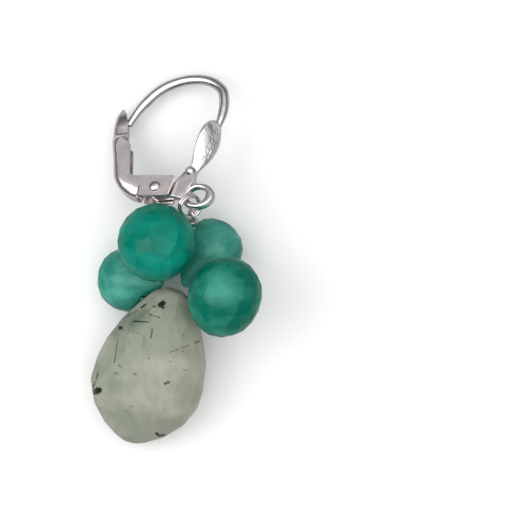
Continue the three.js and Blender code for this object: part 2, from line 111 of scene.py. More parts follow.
@dataclass(frozen=True)
class Layout:
    """Where the clasp's plane and the drawn layout lie in the part's frame, in millimetres."""

    pivot: Vector
    shift: Vector
    right: Vector
    up: Vector
    normal: Vector

    @classmethod
    def from_hinge(cls, hinge: dict, drawn_pivot: Triple) -> "Layout":
        """Reads the clasp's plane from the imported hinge.

        Args:
            hinge: The hinge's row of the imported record.
            drawn_pivot: The rivet's middle in the drawn layout.

        Returns:
            The layout.
        """
        pivot = Vector(hinge["pos_m"]) / MM
        normal = Vector(hinge["axis"]).normalized()
        right = Vector((1, 0, 0)) - normal * normal.x
        right.normalize()
        return cls(pivot, pivot - Vector(drawn_pivot), right, normal.cross(right), normal)

    def spread(self, x: float, y: float, z: float = 0.0) -> Vector:
        """A direction of the clasp's plane in the part's axes."""
        return self.right * x + self.up * y + self.normal * z

    def clasp(self, x: float, y: float, z: float = 0.0) -> Vector:
        """A point of the clasp's plane in the part's frame."""
        return self.pivot + self.spread(x, y, z)

    def drawn(self, point: Sequence[float]) -> Vector:
        """A point of the drawn layout in the part's frame."""
        return Vector(point) + self.shift


# Meshes


@dataclass
class Skin:
    """Corners in millimetres and faces of a mesh."""

    points: list[Vector]
    faces: list[tuple[int, ...]]

    def add(self, other: "Skin") -> "Skin":
        """Puts another skin beside this one.

        Args:
            other: The other skin.

        Returns:
            Both as one skin.
        """
        start = len(self.points)
        faces = [tuple(corner + start for corner in face) for face in other.faces]
        return Skin(self.points + other.points, self.faces + faces)


def loft(sections: Sequence[Sequence[Vector]], ring: bool = False, caps: bool = True) -> Skin:
    """Makes a skin over a row of closed loops that have the same number of points.

    Args:
        sections: The loops.
        ring: Whether the last loop joins the first.
        caps: Whether the two end loops are filled.

    Returns:
        The skin.
    """
    count = len(sections[0])
    rows = len(sections)
    faces: list[tuple[int, ...]] = []
    for row in range(rows if ring else rows - 1):
        here = row * count
        there = (row + 1) % rows * count
        for i in range(count):
            j = (i + 1) % count
            faces.append((here + i, here + j, there + j, there + i))
    if caps and not ring:
        faces.append(tuple(reversed(range(count))))
        faces.append(tuple(range((rows - 1) * count, rows * count)))
    return Skin([point for section in sections for point in section], faces)


def tube(
    path: Sequence[Vector],
    radius: float | Sequence[float],
    sides: int,
    ring: bool = False,
    blunt: float = 0.0,
) -> Skin:
    """Makes a round tube along a path.

    Args:
        path: Points of its middle line.
        radius: Its radius, or one radius for each point.
        sides: Number of sides.
        ring: Whether it closes on itself.
        blunt: How far its two ends are rounded, as a share of the radius.

    Returns:
        The tube's skin.
    """
    count = len(path)
    radii = [radius] * count if isinstance(radius, float) else radius
    sections = []
    side = None
    for i, point in enumerate(path):
        before = path[i - 1] if ring or i > 0 else point
        after = path[(i + 1) % count] if ring or i < count - 1 else point
        way = (after - before).normalized()
        if side is None:
            side = way.orthogonal()
        side = (side - way * side.dot(way)).normalized()
        across = way.cross(side)
        end = 0 if i == 0 else 1 if i == count - 1 else None
        if blunt and end == 0 and not ring:
            sections += round_end(point, way, side, across, radii[i], sides, blunt)
        sections.append(circle(point, side, across, radii[i], sides))
        if blunt and end == 1 and not ring:
            sections += reversed(round_end(point, -way, side, across, radii[i], sides, blunt))
    return loft(sections, ring=ring)


def circle(middle: Vector, side: Vector, across: Vector, radius: float, sides: int) -> list[Vector]:
    """Points of a circle round a middle, from two directions at right angles."""
    turns = [2 * math.pi * i / sides for i in range(sides)]
    return [middle + side * radius * math.cos(turn) + across * radius * math.sin(turn) for turn in turns]


def round_end(
    point: Vector,
    way: Vector,
    side: Vector,
    across: Vector,
    radius: float,
    sides: int,
    blunt: float,
) -> list[list[Vector]]:
    """Sections of a tube's rounded end, from its tip inwards.

    Args:
        point: Middle of the tube's end.
        way: Direction into the tube.
        side: First direction of the tube's section.
        across: Second direction of the tube's section.
        radius: The tube's radius.
        sides: Number of sides.
        blunt: How far the end stands out, as a share of the radius.

    Returns:
        The sections.
    """
    steps = 5
    first_step = 0.4
    sections = []
    for step in range(steps):
        angle = math.pi / 2 * (step + first_step) / steps
        out = radius * blunt * math.cos(angle)
        sections.append(circle(point - way * out, side, across, radius * math.sin(angle), sides))
    return sections


def lathe(profile: Sequence[Pair], place: Callable[[float, float, float], Vector], sides: int) -> Skin:
    """Turns a profile round an axis.

    Args:
        profile: Radius and height of its corners, as a closed loop away from the axis.
        place: Gives the point for two directions across the axis and the height along it.
        sides: Number of sides.

    Returns:
        The skin.
    """
    sections = []
    for i in range(sides):
        turn = 2 * math.pi * i / sides
        sections.append([place(r * math.cos(turn), r * math.sin(turn), height) for r, height in profile])
    return loft(sections, ring=True)


def catmull_rom(points: Sequence[Vector], count: int) -> list[Vector]:
    """Spreads points evenly over a centripetal Catmull-Rom curve, the kind that the part's wires follow.

    Args:
        points: Points that the curve goes through.
        count: Number of points wanted.

    Returns:
        The points.
    """
    row = [points[0] * 2 - points[1], *points, points[-1] * 2 - points[-2]]
    dense: list[Vector] = []
    per_span = 24
    for first, start, end, last in zip(row, row[1:], row[2:], row[3:]):
        before = max((start - first).length, TINY) ** 0.5
        span = max((end - start).length, TINY) ** 0.5
        after = max((last - end).length, TINY) ** 0.5
        leave = ((start - first) / before - (end - first) / (before + span) + (end - start) / span) * span
        arrive = ((end - start) / span - (last - start) / (span + after) + (last - end) / after) * span
        for step in range(per_span):
            t = step / per_span
            dense.append(hermite(start, end, leave, arrive, t))
    dense.append(points[-1].copy())
    return spread_evenly(dense, count)


def hermite(start: Vector, end: Vector, leave: Vector, arrive: Vector, t: float) -> Vector:
    """A point of the cubic between two points with given directions.

    Args:
        start: First point.
        end: Second point.
        leave: Direction at the first point.
        arrive: Direction at the second point.
        t: How far along the point lies, from 0 to 1.

    Returns:
        The point.
    """
    square = t * t
    cube = square * t
    return (
        start * (2 * cube - 3 * square + 1)
        + leave * (cube - 2 * square + t)
        + end * (3 * square - 2 * cube)
        + arrive * (cube - square)
    )


def spread_evenly(path: Sequence[Vector], count: int) -> list[Vector]:
    """Points at equal distances along a polyline.

    Args:
        path: The polyline.
        count: Number of points wanted, both ends among them.

    Returns:
        The points.
    """
    lengths = [0.0]
    for a, b in zip(path, path[1:]):
        lengths.append(lengths[-1] + (b - a).length)
    result = []
    span = 0
    for i in range(count):
        target = lengths[-1] * i / (count - 1)
        while span < len(path) - 2 and lengths[span + 1] < target:
            span += 1
        share = (target - lengths[span]) / max(lengths[span + 1] - lengths[span], 1e-9)
        result.append(path[span].lerp(path[span + 1], limited(share)))
    return result


def oval(middle: Pair, half: Pair) -> list[Pair]:
    """Corners of an oval outline round a middle.

    Args:
        middle: The middle.
        half: Half the width and half the height.

    Returns:
        The corners.
    """
    steps = 72
    turns = [2 * math.pi * i / steps for i in range(steps)]
    return [(middle[0] + half[0] * math.cos(turn), middle[1] + half[1] * math.sin(turn)) for turn in turns]


def limited(value: float) -> float:
    """The value, kept between 0 and 1."""
    return max(0.0, min(1.0, value))


def along_table(rows: Sequence[Pair], x: float) -> float:
    """Reads a smooth curve through a table's points.

    Args:
        rows: Pairs of x and value with x rising.
        x: Where to read it.

    Returns:
        The value there.
    """
    last = len(rows) - 1
    span = next((i for i in range(last) if x <= rows[i + 1][0]), last - 1)

    def slope(i: int) -> float:
        """Works out the curve's slope at a row.

        Args:
            i: Number of the row.

        Returns:
            The slope.
        """
        low = rows[max(i - 1, 0)]
        high = rows[min(i + 1, last)]
        return (high[1] - low[1]) / (high[0] - low[0])

    x0, y0 = rows[span]
    x1, y1 = rows[span + 1]
    width = x1 - x0
    t = (x - x0) / width
    square = t * t
    cube = square * t
    return (
        y0 * (2 * cube - 3 * square + 1)
        + slope(span) * width * (cube - 2 * square + t)
        + y1 * (3 * square - 2 * cube)
        + slope(span + 1) * width * (cube - square)
    )


def flat_plate(
    outlines: Sequence[Sequence[Pair]],
    thickness: float,
    rounding: float,
    place: Callable[[float, float, float], Vector],
) -> Skin:
    """Makes a flat plate with holes and softly rounded edges.

    Args:
        outlines: The outer outline, then the holes.
        thickness: Thickness of the plate.
        rounding: Radius of its edges.
        place: Gives the point for a place in the plate's plane and a height over its middle.

    Returns:
        The plate's skin.
    """
    curve = bpy.data.curves.new("plate_outline", "CURVE")
    curve.dimensions = "2D"
    curve.fill_mode = "BOTH"
    curve.extrude = thickness / 2 - rounding
    curve.bevel_depth = rounding
    curve.bevel_resolution = 3
    curve.offset = -rounding
    for outline in outlines:
        spline = curve.splines.new("POLY")
        spline.points.add(len(outline) - 1)
        for corner, (x, y) in zip(spline.points, outline):
            corner.co = (x, y, 0, 1)
        spline.use_cyclic_u = True
    holder = bpy.data.objects.new("plate_outline", curve)
    bpy.context.scene.collection.objects.link(holder)
    bpy.context.view_layer.update()
    mesh = bpy.data.meshes.new_from_object(holder.evaluated_get(bpy.context.evaluated_depsgraph_get()))
    sketch = bmesh.new()
    sketch.from_mesh(mesh)
    bmesh.ops.remove_doubles(sketch, verts=sketch.verts, dist=rounding / 50)
    skin = Skin(
        [place(*vert.co) for vert in sketch.verts],
        [tuple(vert.index for vert in face.verts) for face in sketch.faces],
    )
    sketch.free()
    bpy.data.objects.remove(holder)
    bpy.data.curves.remove(curve)
    bpy.data.meshes.remove(mesh)
    return skin


def make_piece(
    name: str,
    skin: Skin,
    material: bpy.types.Material,
    shading: Shading,
    body: Body = Body.EARRING,
    slot: Slot = Slot.METAL,
) -> bpy.types.Object:
    """Makes a piece of the earring from a skin and lets it ride on its body.

    Args:
        name: The piece's name.
        skin: Its corners and faces.
        material: Its material.
        shading: How light runs over its edges.
        body: The body that it rides on.
        slot: The record's slot that its finish comes from.

    Returns:
        The piece.
    """
    mesh = bpy.data.meshes.new(name)
    mesh.from_pydata([point * MM for point in skin.points], [], skin.faces)
    sketch = bmesh.new()
    sketch.from_mesh(mesh)
    bmesh.ops.recalc_face_normals(sketch, faces=sketch.faces)
    sketch.to_mesh(mesh)
    sketch.free()
    return finish_piece(mesh, name, material, shading, body, slot)


def finish_piece(
    mesh: bpy.types.Mesh,
    name: str,
    material: bpy.types.Material,
    shading: Shading,
    body: Body,
    slot: Slot,
) -> bpy.types.Object:
    """Shades a mesh, gives it its material and lets it ride.

    Args:
        mesh: The mesh, in metres.
        name: The piece's name.
        material: Its material.
        shading: How light runs over its edges.
        body: The body that it rides on.
        slot: The record's slot that its finish comes from; not used.

    Returns:
        The piece.
    """
    if shading is Shading.FACETED:
        mesh.shade_flat()
    else:
        mesh.shade_smooth()
        if shading is Shading.SHEET:
            mesh.set_sharp_from_angle(angle=math.radians(shading.value))
    mesh.materials.append(material)
    piece = bpy.data.objects.new(name, mesh)
    bpy.context.scene.collection.objects.link(piece)
    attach(piece, body.value)
    return piece


def even_normals(piece: bpy.types.Object) -> None:
    """Keeps a piece's large flat faces flat beside its rounded edges."""
    modifier = piece.modifiers.new("even_normals", "WEIGHTED_NORMAL")
    modifier.keep_sharp = True


# Shaders


class ShaderGraph:
    """A node tree with short calls that add and join its nodes."""

    def __init__(self, tree: bpy.types.NodeTree) -> None:
        """Keeps the tree."""
        self.tree = tree

    def add(self, kind: str, **settings: object) -> bpy.types.Node:
        """Adds a node and sets its properties.

        Args:
            kind: Blender's name for the kind of node.
            settings: Its properties.

        Returns:
            The node.
        """
        node = self.tree.nodes.new(kind)
        for name, value in settings.items():
            setattr(node, name, value)
        return node

    def feed(self, socket: bpy.types.NodeSocket, value: object) -> None:
        """Joins an output to a socket, or sets the socket's own value.

        Args:
            socket: The socket that takes it.
            value: An output of another node, or a plain value.
        """
        if isinstance(value, bpy.types.NodeSocket):
            self.tree.links.new(value, socket)
        else:
            socket.default_value = value

    def math(self, operation: str, *values: object, clamp: bool = False) -> bpy.types.NodeSocket:
        """Adds a Math node.

        Args:
            operation: What it works out.
            values: Its inputs, as outputs of other nodes or numbers.
            clamp: Whether the result is kept between 0 and 1.

        Returns:
            Its output.
        """
        node = self.add("ShaderNodeMath", operation=operation, use_clamp=clamp)
        for socket, value in zip(node.inputs, values):
            self.feed(socket, value)
        return node.outputs[0]

    def vector(self, operation: str, *values: object, result: str = "Vector") -> bpy.types.NodeSocket:
        """Adds a Vector Math node.

        Args:
            operation: What it works out.
            values: Its inputs, as outputs of other nodes or plain values.
            result: Name of the output that is wanted.

        Returns:
            That output.
        """
        node = self.add("ShaderNodeVectorMath", operation=operation)
        for socket, value in zip(node.inputs, values):
            self.feed(socket, value)
        return node.outputs[result]

    def scaled(self, vector: bpy.types.NodeSocket, factor: object) -> bpy.types.NodeSocket:
        """Multiplies a vector by a number.

        Args:
            vector: The vector.
            factor: The number, or an output that gives it.

        Returns:
            The longer or shorter vector.
        """
        node = self.add("ShaderNodeVectorMath", operation="SCALE")
        self.feed(node.inputs[0], vector)
        self.feed(node.inputs["Scale"], factor)
        return node.outputs[0]

    def mix(self, share: object, first: object, second: object) -> bpy.types.NodeSocket:
        """Mixes two colours.

        Args:
            share: How much of the second colour there is.
            first: The first colour.
            second: The second colour.

        Returns:
            The mixed colour.
        """
        node = self.add("ShaderNodeMix", data_type="RGBA")
        self.feed(node.inputs[0], share)
        self.feed(node.inputs[6], first)
        self.feed(node.inputs[7], second)
        return node.outputs[2]

    def noise(self, place: bpy.types.NodeSocket, scale: object, detail: float) -> bpy.types.NodeSocket:
        """Adds a smooth random value over space.

        Args:
            place: Where it is read.
            scale: Number of its waves to a millimetre.
            detail: How many finer waves are added.

        Returns:
            The value, from 0 to 1.
        """
        node = self.add("ShaderNodeTexNoise")
        node.inputs["Detail"].default_value = detail
        self.feed(node.inputs["Vector"], place)
        self.feed(node.inputs["Scale"], scale)
        return node.outputs[0]

    def step(
        self,
        value: object,
        low: object,
        high: object,
        start: object = 0.0,
        end: object = 1.0,
    ) -> bpy.types.NodeSocket:
        """Turns a value into a smooth step.

        Args:
            value: The value.
            low: Where the step begins.
            high: Where the step ends.
            start: The result below the step.
            end: The result above the step.

        Returns:
            The result.
        """
        node = self.add("ShaderNodeMapRange", interpolation_type="SMOOTHSTEP")
        for socket, given in zip(node.inputs, (value, low, high, start, end)):
            self.feed(socket, given)
        return node.outputs[0]

    def use(self, group: bpy.types.NodeTree, **inputs: object) -> bpy.types.Node:
        """Places a shared group.

        Args:
            group: The group.
            inputs: Its inputs, with an underscore for each space of their names.

        Returns:
            The group's node.
        """
        node = self.add("ShaderNodeGroup", node_tree=group)
        for name, value in inputs.items():
            self.feed(node.inputs[name.replace("_", " ")], value)
        return node

    def place(self) -> bpy.types.NodeSocket:
        """The point on the piece at rest, in millimetres."""
        where = self.add("ShaderNodeTexCoord").outputs["Object"]
        return self.scaled(where, 1 / MM)


class Kind(Enum):
    """Kinds of socket that the shared groups have."""

    NUMBER = "NodeSocketFloat"
    COLOUR = "NodeSocketColor"
    VECTOR = "NodeSocketVector"


def new_group(
    name: str,
    inputs: dict[str, Kind],
    outputs: dict[str, Kind],
) -> tuple[ShaderGraph, dict[str, bpy.types.NodeSocket], dict[str, bpy.types.NodeSocket]]:
    """Starts a shared node group.

    Args:
        name: The group's name.
        inputs: Names and kinds of its inputs.
        outputs: Names and kinds of its outputs.

    Returns:
        The group's graph, then the sockets that give its inputs and those that take its outputs, by name.
    """
    tree = bpy.data.node_groups.new(name, "ShaderNodeTree")
    for label, kind in inputs.items():
        tree.interface.new_socket(name=label, in_out="INPUT", socket_type=kind.value)
    for label, kind in outputs.items():
        tree.interface.new_socket(name=label, in_out="OUTPUT", socket_type=kind.value)
    graph = ShaderGraph(tree)
    given = graph.add("NodeGroupInput")
    taken = graph.add("NodeGroupOutput")
    return (
        graph,
        {label: given.outputs[label] for label in inputs},
        {label: taken.inputs[label] for label in outputs},
    )


def soft_wear_group() -> bpy.types.NodeTree:
    """Soft wear of metal: a mask of duller patches and a height of shallow dents and fine scratches.

    Returns:
        The group.
    """
    scratch_stretch = (9.0, 1.4, 9.0)
    scratch_depth = 0.12
    graph, given, taken = new_group(
        "soft_wear",
        {
            "Place": Kind.VECTOR,
            "Patch scale": Kind.NUMBER,
            "Dent scale": Kind.NUMBER,
            "Amount": Kind.NUMBER,
        },
        {"Mask": Kind.NUMBER, "Height": Kind.NUMBER},
    )
    patches = graph.noise(given["Place"], given["Patch scale"], detail=2.0)
    spread = graph.step(patches, low=0.35, high=0.7)
    graph.feed(taken["Mask"], graph.math("MULTIPLY", spread, given["Amount"]))
    dents = graph.noise(given["Place"], given["Dent scale"], detail=2.0)
    stretched = graph.vector("MULTIPLY", given["Place"], scratch_stretch)
    scratches = graph.math("MULTIPLY", graph.noise(stretched, scale=1.0, detail=3.0), scratch_depth)
    graph.feed(taken["Height"], graph.math("ADD", dents, scratches))
    return graph.tree


def cloud_group() -> bpy.types.NodeTree:
    """Cloudy stone: a colour from deep to clear with bands, plus painted light: a glow that makes the
    colour clearer near a given middle, and a lighter or darker tone for each facet that stands in for
    refracted light.

    Returns:
        The group.
    """
    glow_strength = 0.55
    band_stretch = (0.35, 1.0, 0.8)
    facet_grain = 2.6
    graph, given, taken = new_group(
        "stone_cloud",
        {
            "Place": Kind.VECTOR,
            "Facing": Kind.VECTOR,
            "Scale": Kind.NUMBER,
            "Deep": Kind.COLOUR,
            "Clear": Kind.COLOUR,
            "Patch": Kind.VECTOR,
            "Patch size": Kind.NUMBER,
            "Bands": Kind.NUMBER,
            "Facets": Kind.NUMBER,
        },
        {"Colour": Kind.COLOUR},
    )
    # Painted glow: the colour turns clearer near a given middle, a lighter area that stands in for light
    # let through the stone.
    away = graph.vector("DISTANCE", given["Place"], given["Patch"], result="Value")
    glow_patch = graph.step(away, low=0.0, high=given["Patch size"], start=glow_strength, end=0.0)
    stretched = graph.vector("MULTIPLY", given["Place"], band_stretch)
    bands = graph.step(graph.noise(stretched, given["Scale"], detail=2.0), low=0.36, high=0.64)
    # Painted refraction: each facet, known by its true normal, gets a random lighter or darker tone that
    # stands in for light refracted through it.
    facets = graph.math("SUBTRACT", graph.noise(given["Facing"], facet_grain, detail=0.0), 0.5)
    clearness_and_painted_light = graph.math("MULTIPLY_ADD", bands, given["Bands"], glow_patch)
    clearness_and_painted_light = graph.math("MULTIPLY_ADD", facets, given["Facets"], clearness_and_painted_light, clamp=True)
    graph.feed(taken["Colour"], graph.mix(clearness_and_painted_light, given["Deep"], given["Clear"]))
    return graph.tree


def streak_group() -> bpy.types.NodeTree:
    """One inclusion: a short line with ragged edges, added to the mask that comes in.

    Returns:
        The group.
    """
    depth_share = (1.0, 1.0, 0.3)
    ragged_grain = 4.0
    graph, given, taken = new_group(
        "streak",
        {
            "Place": Kind.VECTOR,
            "Start": Kind.VECTOR,
            "End": Kind.VECTOR,
            "Width": Kind.NUMBER,
            "Softness": Kind.NUMBER,
            "Strength": Kind.NUMBER,
            "Mask": Kind.NUMBER,
        },
        {"Mask": Kind.NUMBER},
    )
    away = graph.vector("MULTIPLY", graph.vector("SUBTRACT", given["Place"], given["Start"]), depth_share)
    line = graph.vector("MULTIPLY", graph.vector("SUBTRACT", given["End"], given["Start"]), depth_share)
    reach = graph.vector("DOT_PRODUCT", away, line, result="Value")
    length = graph.math("MAXIMUM", graph.vector("DOT_PRODUCT", line, line, result="Value"), TINY)
    share = graph.math("DIVIDE", reach, length, clamp=True)
    foot = graph.scaled(line, share)
    distance = graph.vector("DISTANCE", away, foot, result="Value")
    ragged = graph.math("SUBTRACT", graph.noise(given["Place"], ragged_grain, detail=1.0), 0.5)
    distance = graph.math("MULTIPLY_ADD", ragged, given["Width"], distance)
    inner = graph.math("MULTIPLY", given["Width"], graph.math("SUBTRACT", 1.0, given["Softness"]))
    mark = graph.step(distance, low=inner, high=given["Width"], start=given["Strength"], end=0.0)
    graph.feed(taken["Mask"], graph.math("MAXIMUM", given["Mask"], mark))
    return graph.tree


@dataclass(frozen=True)
class Shared:
    """The shared node groups."""

    wear: bpy.types.NodeTree
    cloud: bpy.types.NodeTree
    streak: bpy.types.NodeTree

    @classmethod
    def build(cls) -> "Shared":
        """Builds each group once."""
        return cls(soft_wear_group(), cloud_group(), streak_group())


def new_material(name: str) -> tuple[bpy.types.Material, ShaderGraph, bpy.types.Node]:
    """Starts a material.

    Args:
        name: Its name.

    Returns:
        The material, its graph and its Principled shader.
    """
    material = bpy.data.materials.new(name)
    material.use_nodes = True
    graph = ShaderGraph(material.node_tree)
    return material, graph, material.node_tree.nodes["Principled BSDF"]


@dataclass(frozen=True)
class SilverFinish:
    """Polished silver, brighter where it is clean and duller in soft patches."""

    name: str
    bright: Colour
    dull: Colour
    gloss: float
    matt: float
    dent: float
    dent_scale: float
    patch_scale: float = 0.55
    wear: float = 1.0

    def material(self, shared: Shared) -> bpy.types.Material:
        """Builds the finish's material from the shared groups.

        Args:
            shared: The shared groups.

        Returns:
            The material.
        """
        material, graph, shader = new_material(self.name)
        worn = graph.use(
            shared.wear,
            Place=graph.place(),
            Patch_scale=self.patch_scale,
            Dent_scale=self.dent_scale,
            Amount=self.wear,
        )
        shader.inputs["Metallic"].default_value = 1.0
        graph.feed(shader.inputs["Base Color"], graph.mix(worn.outputs["Mask"], self.bright, self.dull))
        roughness = graph.math("MULTIPLY_ADD", worn.outputs["Mask"], self.matt - self.gloss, self.gloss)
        graph.feed(shader.inputs["Roughness"], roughness)
        bump = graph.add("ShaderNodeBump")
        bump.inputs["Distance"].default_value = self.dent * MM
        graph.feed(bump.inputs["Height"], worn.outputs["Height"])
        graph.feed(shader.inputs["Normal"], bump.outputs["Normal"])
        return material


@dataclass(frozen=True)
class StoneFinish:
    """Polished cloudy stone that lets light in."""

    name: str
    deep: Colour
    clear: Colour
    cloud_scale: float
    scatter_depth: Triple
    see_through: float
    roughness: float = 0.1
    scatter: float = 0.4
    bands: float = 0.45
    # Strength of the painted tone for each facet, which stands in for light refracted through it.
    facets: float = 0.5
    shine: float = 0.12
    index: float = 1.4

    def start(
        self,
        shared: Shared,
        name: str,
        glow_patch: Vector,
        glow_patch_size: float,
    ) -> tuple[bpy.types.Material, ShaderGraph, bpy.types.Node, bpy.types.NodeSocket]:
        """Starts the material of one stone.

        Args:
            shared: The shared groups.
            name: Name of the stone.
            glow_patch: Middle of its painted glow, a lighter area that stands in for light let through the
                stone.
            glow_patch_size: Reach of that painted glow.

        Returns:
            The material, its graph, its shader and the cloudy colour with its painted glow and painted
            facet tones.
        """
        material, graph, shader = new_material(f"{self.name}_{name}")
        cloud = graph.use(
            shared.cloud,
            Place=graph.place(),
            Facing=graph.add("ShaderNodeNewGeometry").outputs["True Normal"],
            Scale=self.cloud_scale,
            Bands=self.bands,
            Facets=self.facets,
            Deep=self.deep,
            Clear=self.clear,
            Patch=glow_patch,
            Patch_size=glow_patch_size,
        )
        shader.inputs["Roughness"].default_value = self.roughness
        shader.inputs["IOR"].default_value = self.index
        shader.inputs["Subsurface Weight"].default_value = self.scatter
        shader.inputs["Subsurface Radius"].default_value = self.scatter_depth
        shader.inputs["Subsurface Scale"].default_value = MM
        shader.inputs["Transmission Weight"].default_value = self.see_through
        shader.inputs["Specular IOR Level"].default_value = self.shine
        return material, graph, shader, cloud.outputs["Colour"]


SILVER = SilverFinish(
    name="polished_silver",
    bright=(0.79, 0.765, 0.755, 1),
    dull=(0.62, 0.59, 0.585, 1),
    gloss=0.09,
    matt=0.18,
    dent=0.02,
    dent_scale=0.8,
)
SHEET_SILVER = SilverFinish(
    name="bent_sheet_silver",
    bright=(0.86, 0.8, 0.795, 1),
    dull=(0.73, 0.675, 0.68, 1),
    gloss=0.16,
    matt=0.26,
    dent=0.04,
    dent_scale=0.42,
)
PEBBLED_SILVER = SilverFinish(
    name="pebbled_silver",
    bright=(0.86, 0.85, 0.845, 1),
    dull=(0.7, 0.69, 0.685, 1),
    gloss=0.28,
    matt=0.4,
    dent=0.05,
    dent_scale=2.6,
)
# In each stone finish, facets sets the painted tone for each facet, which stands in for refracted light.
DARK_GREEN = StoneFinish(
    name="deep_green_stone",
    deep=(0.0, 0.17, 0.115, 1),
    clear=(0.008, 0.37, 0.275, 1),
    cloud_scale=0.42,
    scatter_depth=(0.4, 1.4, 1.0),
    see_through=0.16,
    facets=0.75,
)
BANDED_GREEN = StoneFinish(
    name="banded_green_stone",
    deep=(0.0, 0.16, 0.105, 1),
    clear=(0.075, 0.42, 0.33, 1),
    cloud_scale=0.42,
    scatter_depth=(0.4, 1.4, 1.0),
    see_through=0.16,
    bands=0.32,
    facets=0.6,
)
LIGHT_GREEN = StoneFinish(
    name="light_green_stone",
    deep=(0.018, 0.25, 0.185, 1),
    clear=(0.14, 0.52, 0.42, 1),
    cloud_scale=0.4,
    scatter_depth=(0.6, 1.6, 1.2),
    see_through=0.2,
    facets=0.85,
)
PALE_STONE = StoneFinish(
    name="milky_pale_stone",
    deep=(0.23, 0.275, 0.21, 1),
    clear=(0.55, 0.525, 0.43, 1),
    roughness=0.24,
    cloud_scale=0.26,
    scatter=0.35,
    scatter_depth=(1.3, 1.4, 1.1),
    see_through=0.1,
    bands=0.34,
    facets=0.25,
    shine=0.25,
)


# Studio


@dataclass
class Studio:
    """Camera, floor and soft light."""

    aim: Pair = (10.54, -0.72)
    sharp_height: float = 5.0
    distance: float = 350.0
    pixels_per_mm: float = 8.4
    floor_side: float = 3000.0
    floor_tone: Colour = (0.95, 0.95, 0.95, 1)
    mirrored_tone: Colour = (0.5, 0.5, 0.5, 1)
    sky: tuple[Pair, ...] = (
        (0.0, 0.02), (0.2, 0.07), (0.4, 0.3), (0.5, 0.47),
        (0.62, 0.74), (0.78, 0.95), (0.9, 1.7), (1.0, 2.4),
    )
    box_place: Triple = (-640.0, 60.0, 700.0)
    box_side: float = 620.0
    box_power: float = 2.8

    def build_camera(self) -> None:
        """Makes the camera that looks straight down, with the photograph's framing."""
        data = bpy.data.cameras.new("photo_camera")
        seen = PHOTO_SIDE / self.pixels_per_mm
        data.lens = data.sensor_width * self.distance / seen
        data.clip_start = 0.01
        data.clip_end = 10.0
        camera = bpy.data.objects.new("photo_camera", data)
        camera.location = Vector((*self.aim, self.sharp_height + self.distance)) * MM
        bpy.context.scene.collection.objects.link(camera)
        bpy.context.scene.camera = camera

    def build_floor(self) -> None:
        """Makes the plain pale floor, which is dimmer where the metal mirrors it."""
        half = self.floor_side / 2 * MM
        corners = [(-half, -half, 0), (half, -half, 0), (half, half, 0), (-half, half, 0)]
        mesh = bpy.data.meshes.new("floor")
        mesh.from_pydata(corners, [], [(0, 1, 2, 3)])
        material, graph, shader = new_material("plain_floor")
        mirrored = graph.add("ShaderNodeLightPath").outputs["Is Glossy Ray"]
        graph.feed(shader.inputs["Base Color"], graph.mix(mirrored, self.floor_tone, self.mirrored_tone))
        shader.inputs["Roughness"].default_value = 0.7
        shader.inputs["Specular IOR Level"].default_value = 0.2
        mesh.materials.append(material)
        floor = bpy.data.objects.new("floor", mesh)
        bpy.context.scene.collection.objects.link(floor)

    def build_light(self) -> None:
        """Makes a sky that is bright overhead and dim at the horizon, and one soft box on the left."""
        world = bpy.data.worlds.new("soft_room")
        world.use_nodes = True
        graph = ShaderGraph(world.node_tree)
        way = graph.add("ShaderNodeTexCoord").outputs["Generated"]
        parts = graph.add("ShaderNodeSeparateXYZ")
        graph.feed(parts.inputs[0], way)
        ramp = graph.add("ShaderNodeValToRGB")
        graph.feed(ramp.inputs[0], parts.outputs["Z"])
        while len(ramp.color_ramp.elements) < len(self.sky):
            ramp.color_ramp.elements.new(0.5)
        for element, (height, tone) in zip(ramp.color_ramp.elements, self.sky):
            element.position = height
            element.color = (tone, tone, tone, 1)
        graph.feed(world.node_tree.nodes["Background"].inputs["Color"], ramp.outputs["Color"])
        bpy.context.scene.world = world
        self.build_soft_box()
        view = bpy.context.scene.view_settings
        view.view_transform = "Standard"
        view.look = "None"

    def build_soft_box(self) -> None:
        """Makes the square area light that faces the earring."""
        data = bpy.data.lights.new("key_box", "AREA")
        data.shape = "SQUARE"
        data.size = self.box_side * MM
        data.energy = self.box_power
        light = bpy.data.objects.new("key_box", data)
        light.location = Vector(self.box_place) * MM
        light.rotation_euler = (-light.location).to_track_quat("-Z", "Y").to_euler()
        bpy.context.scene.collection.objects.link(light)


# Clasp


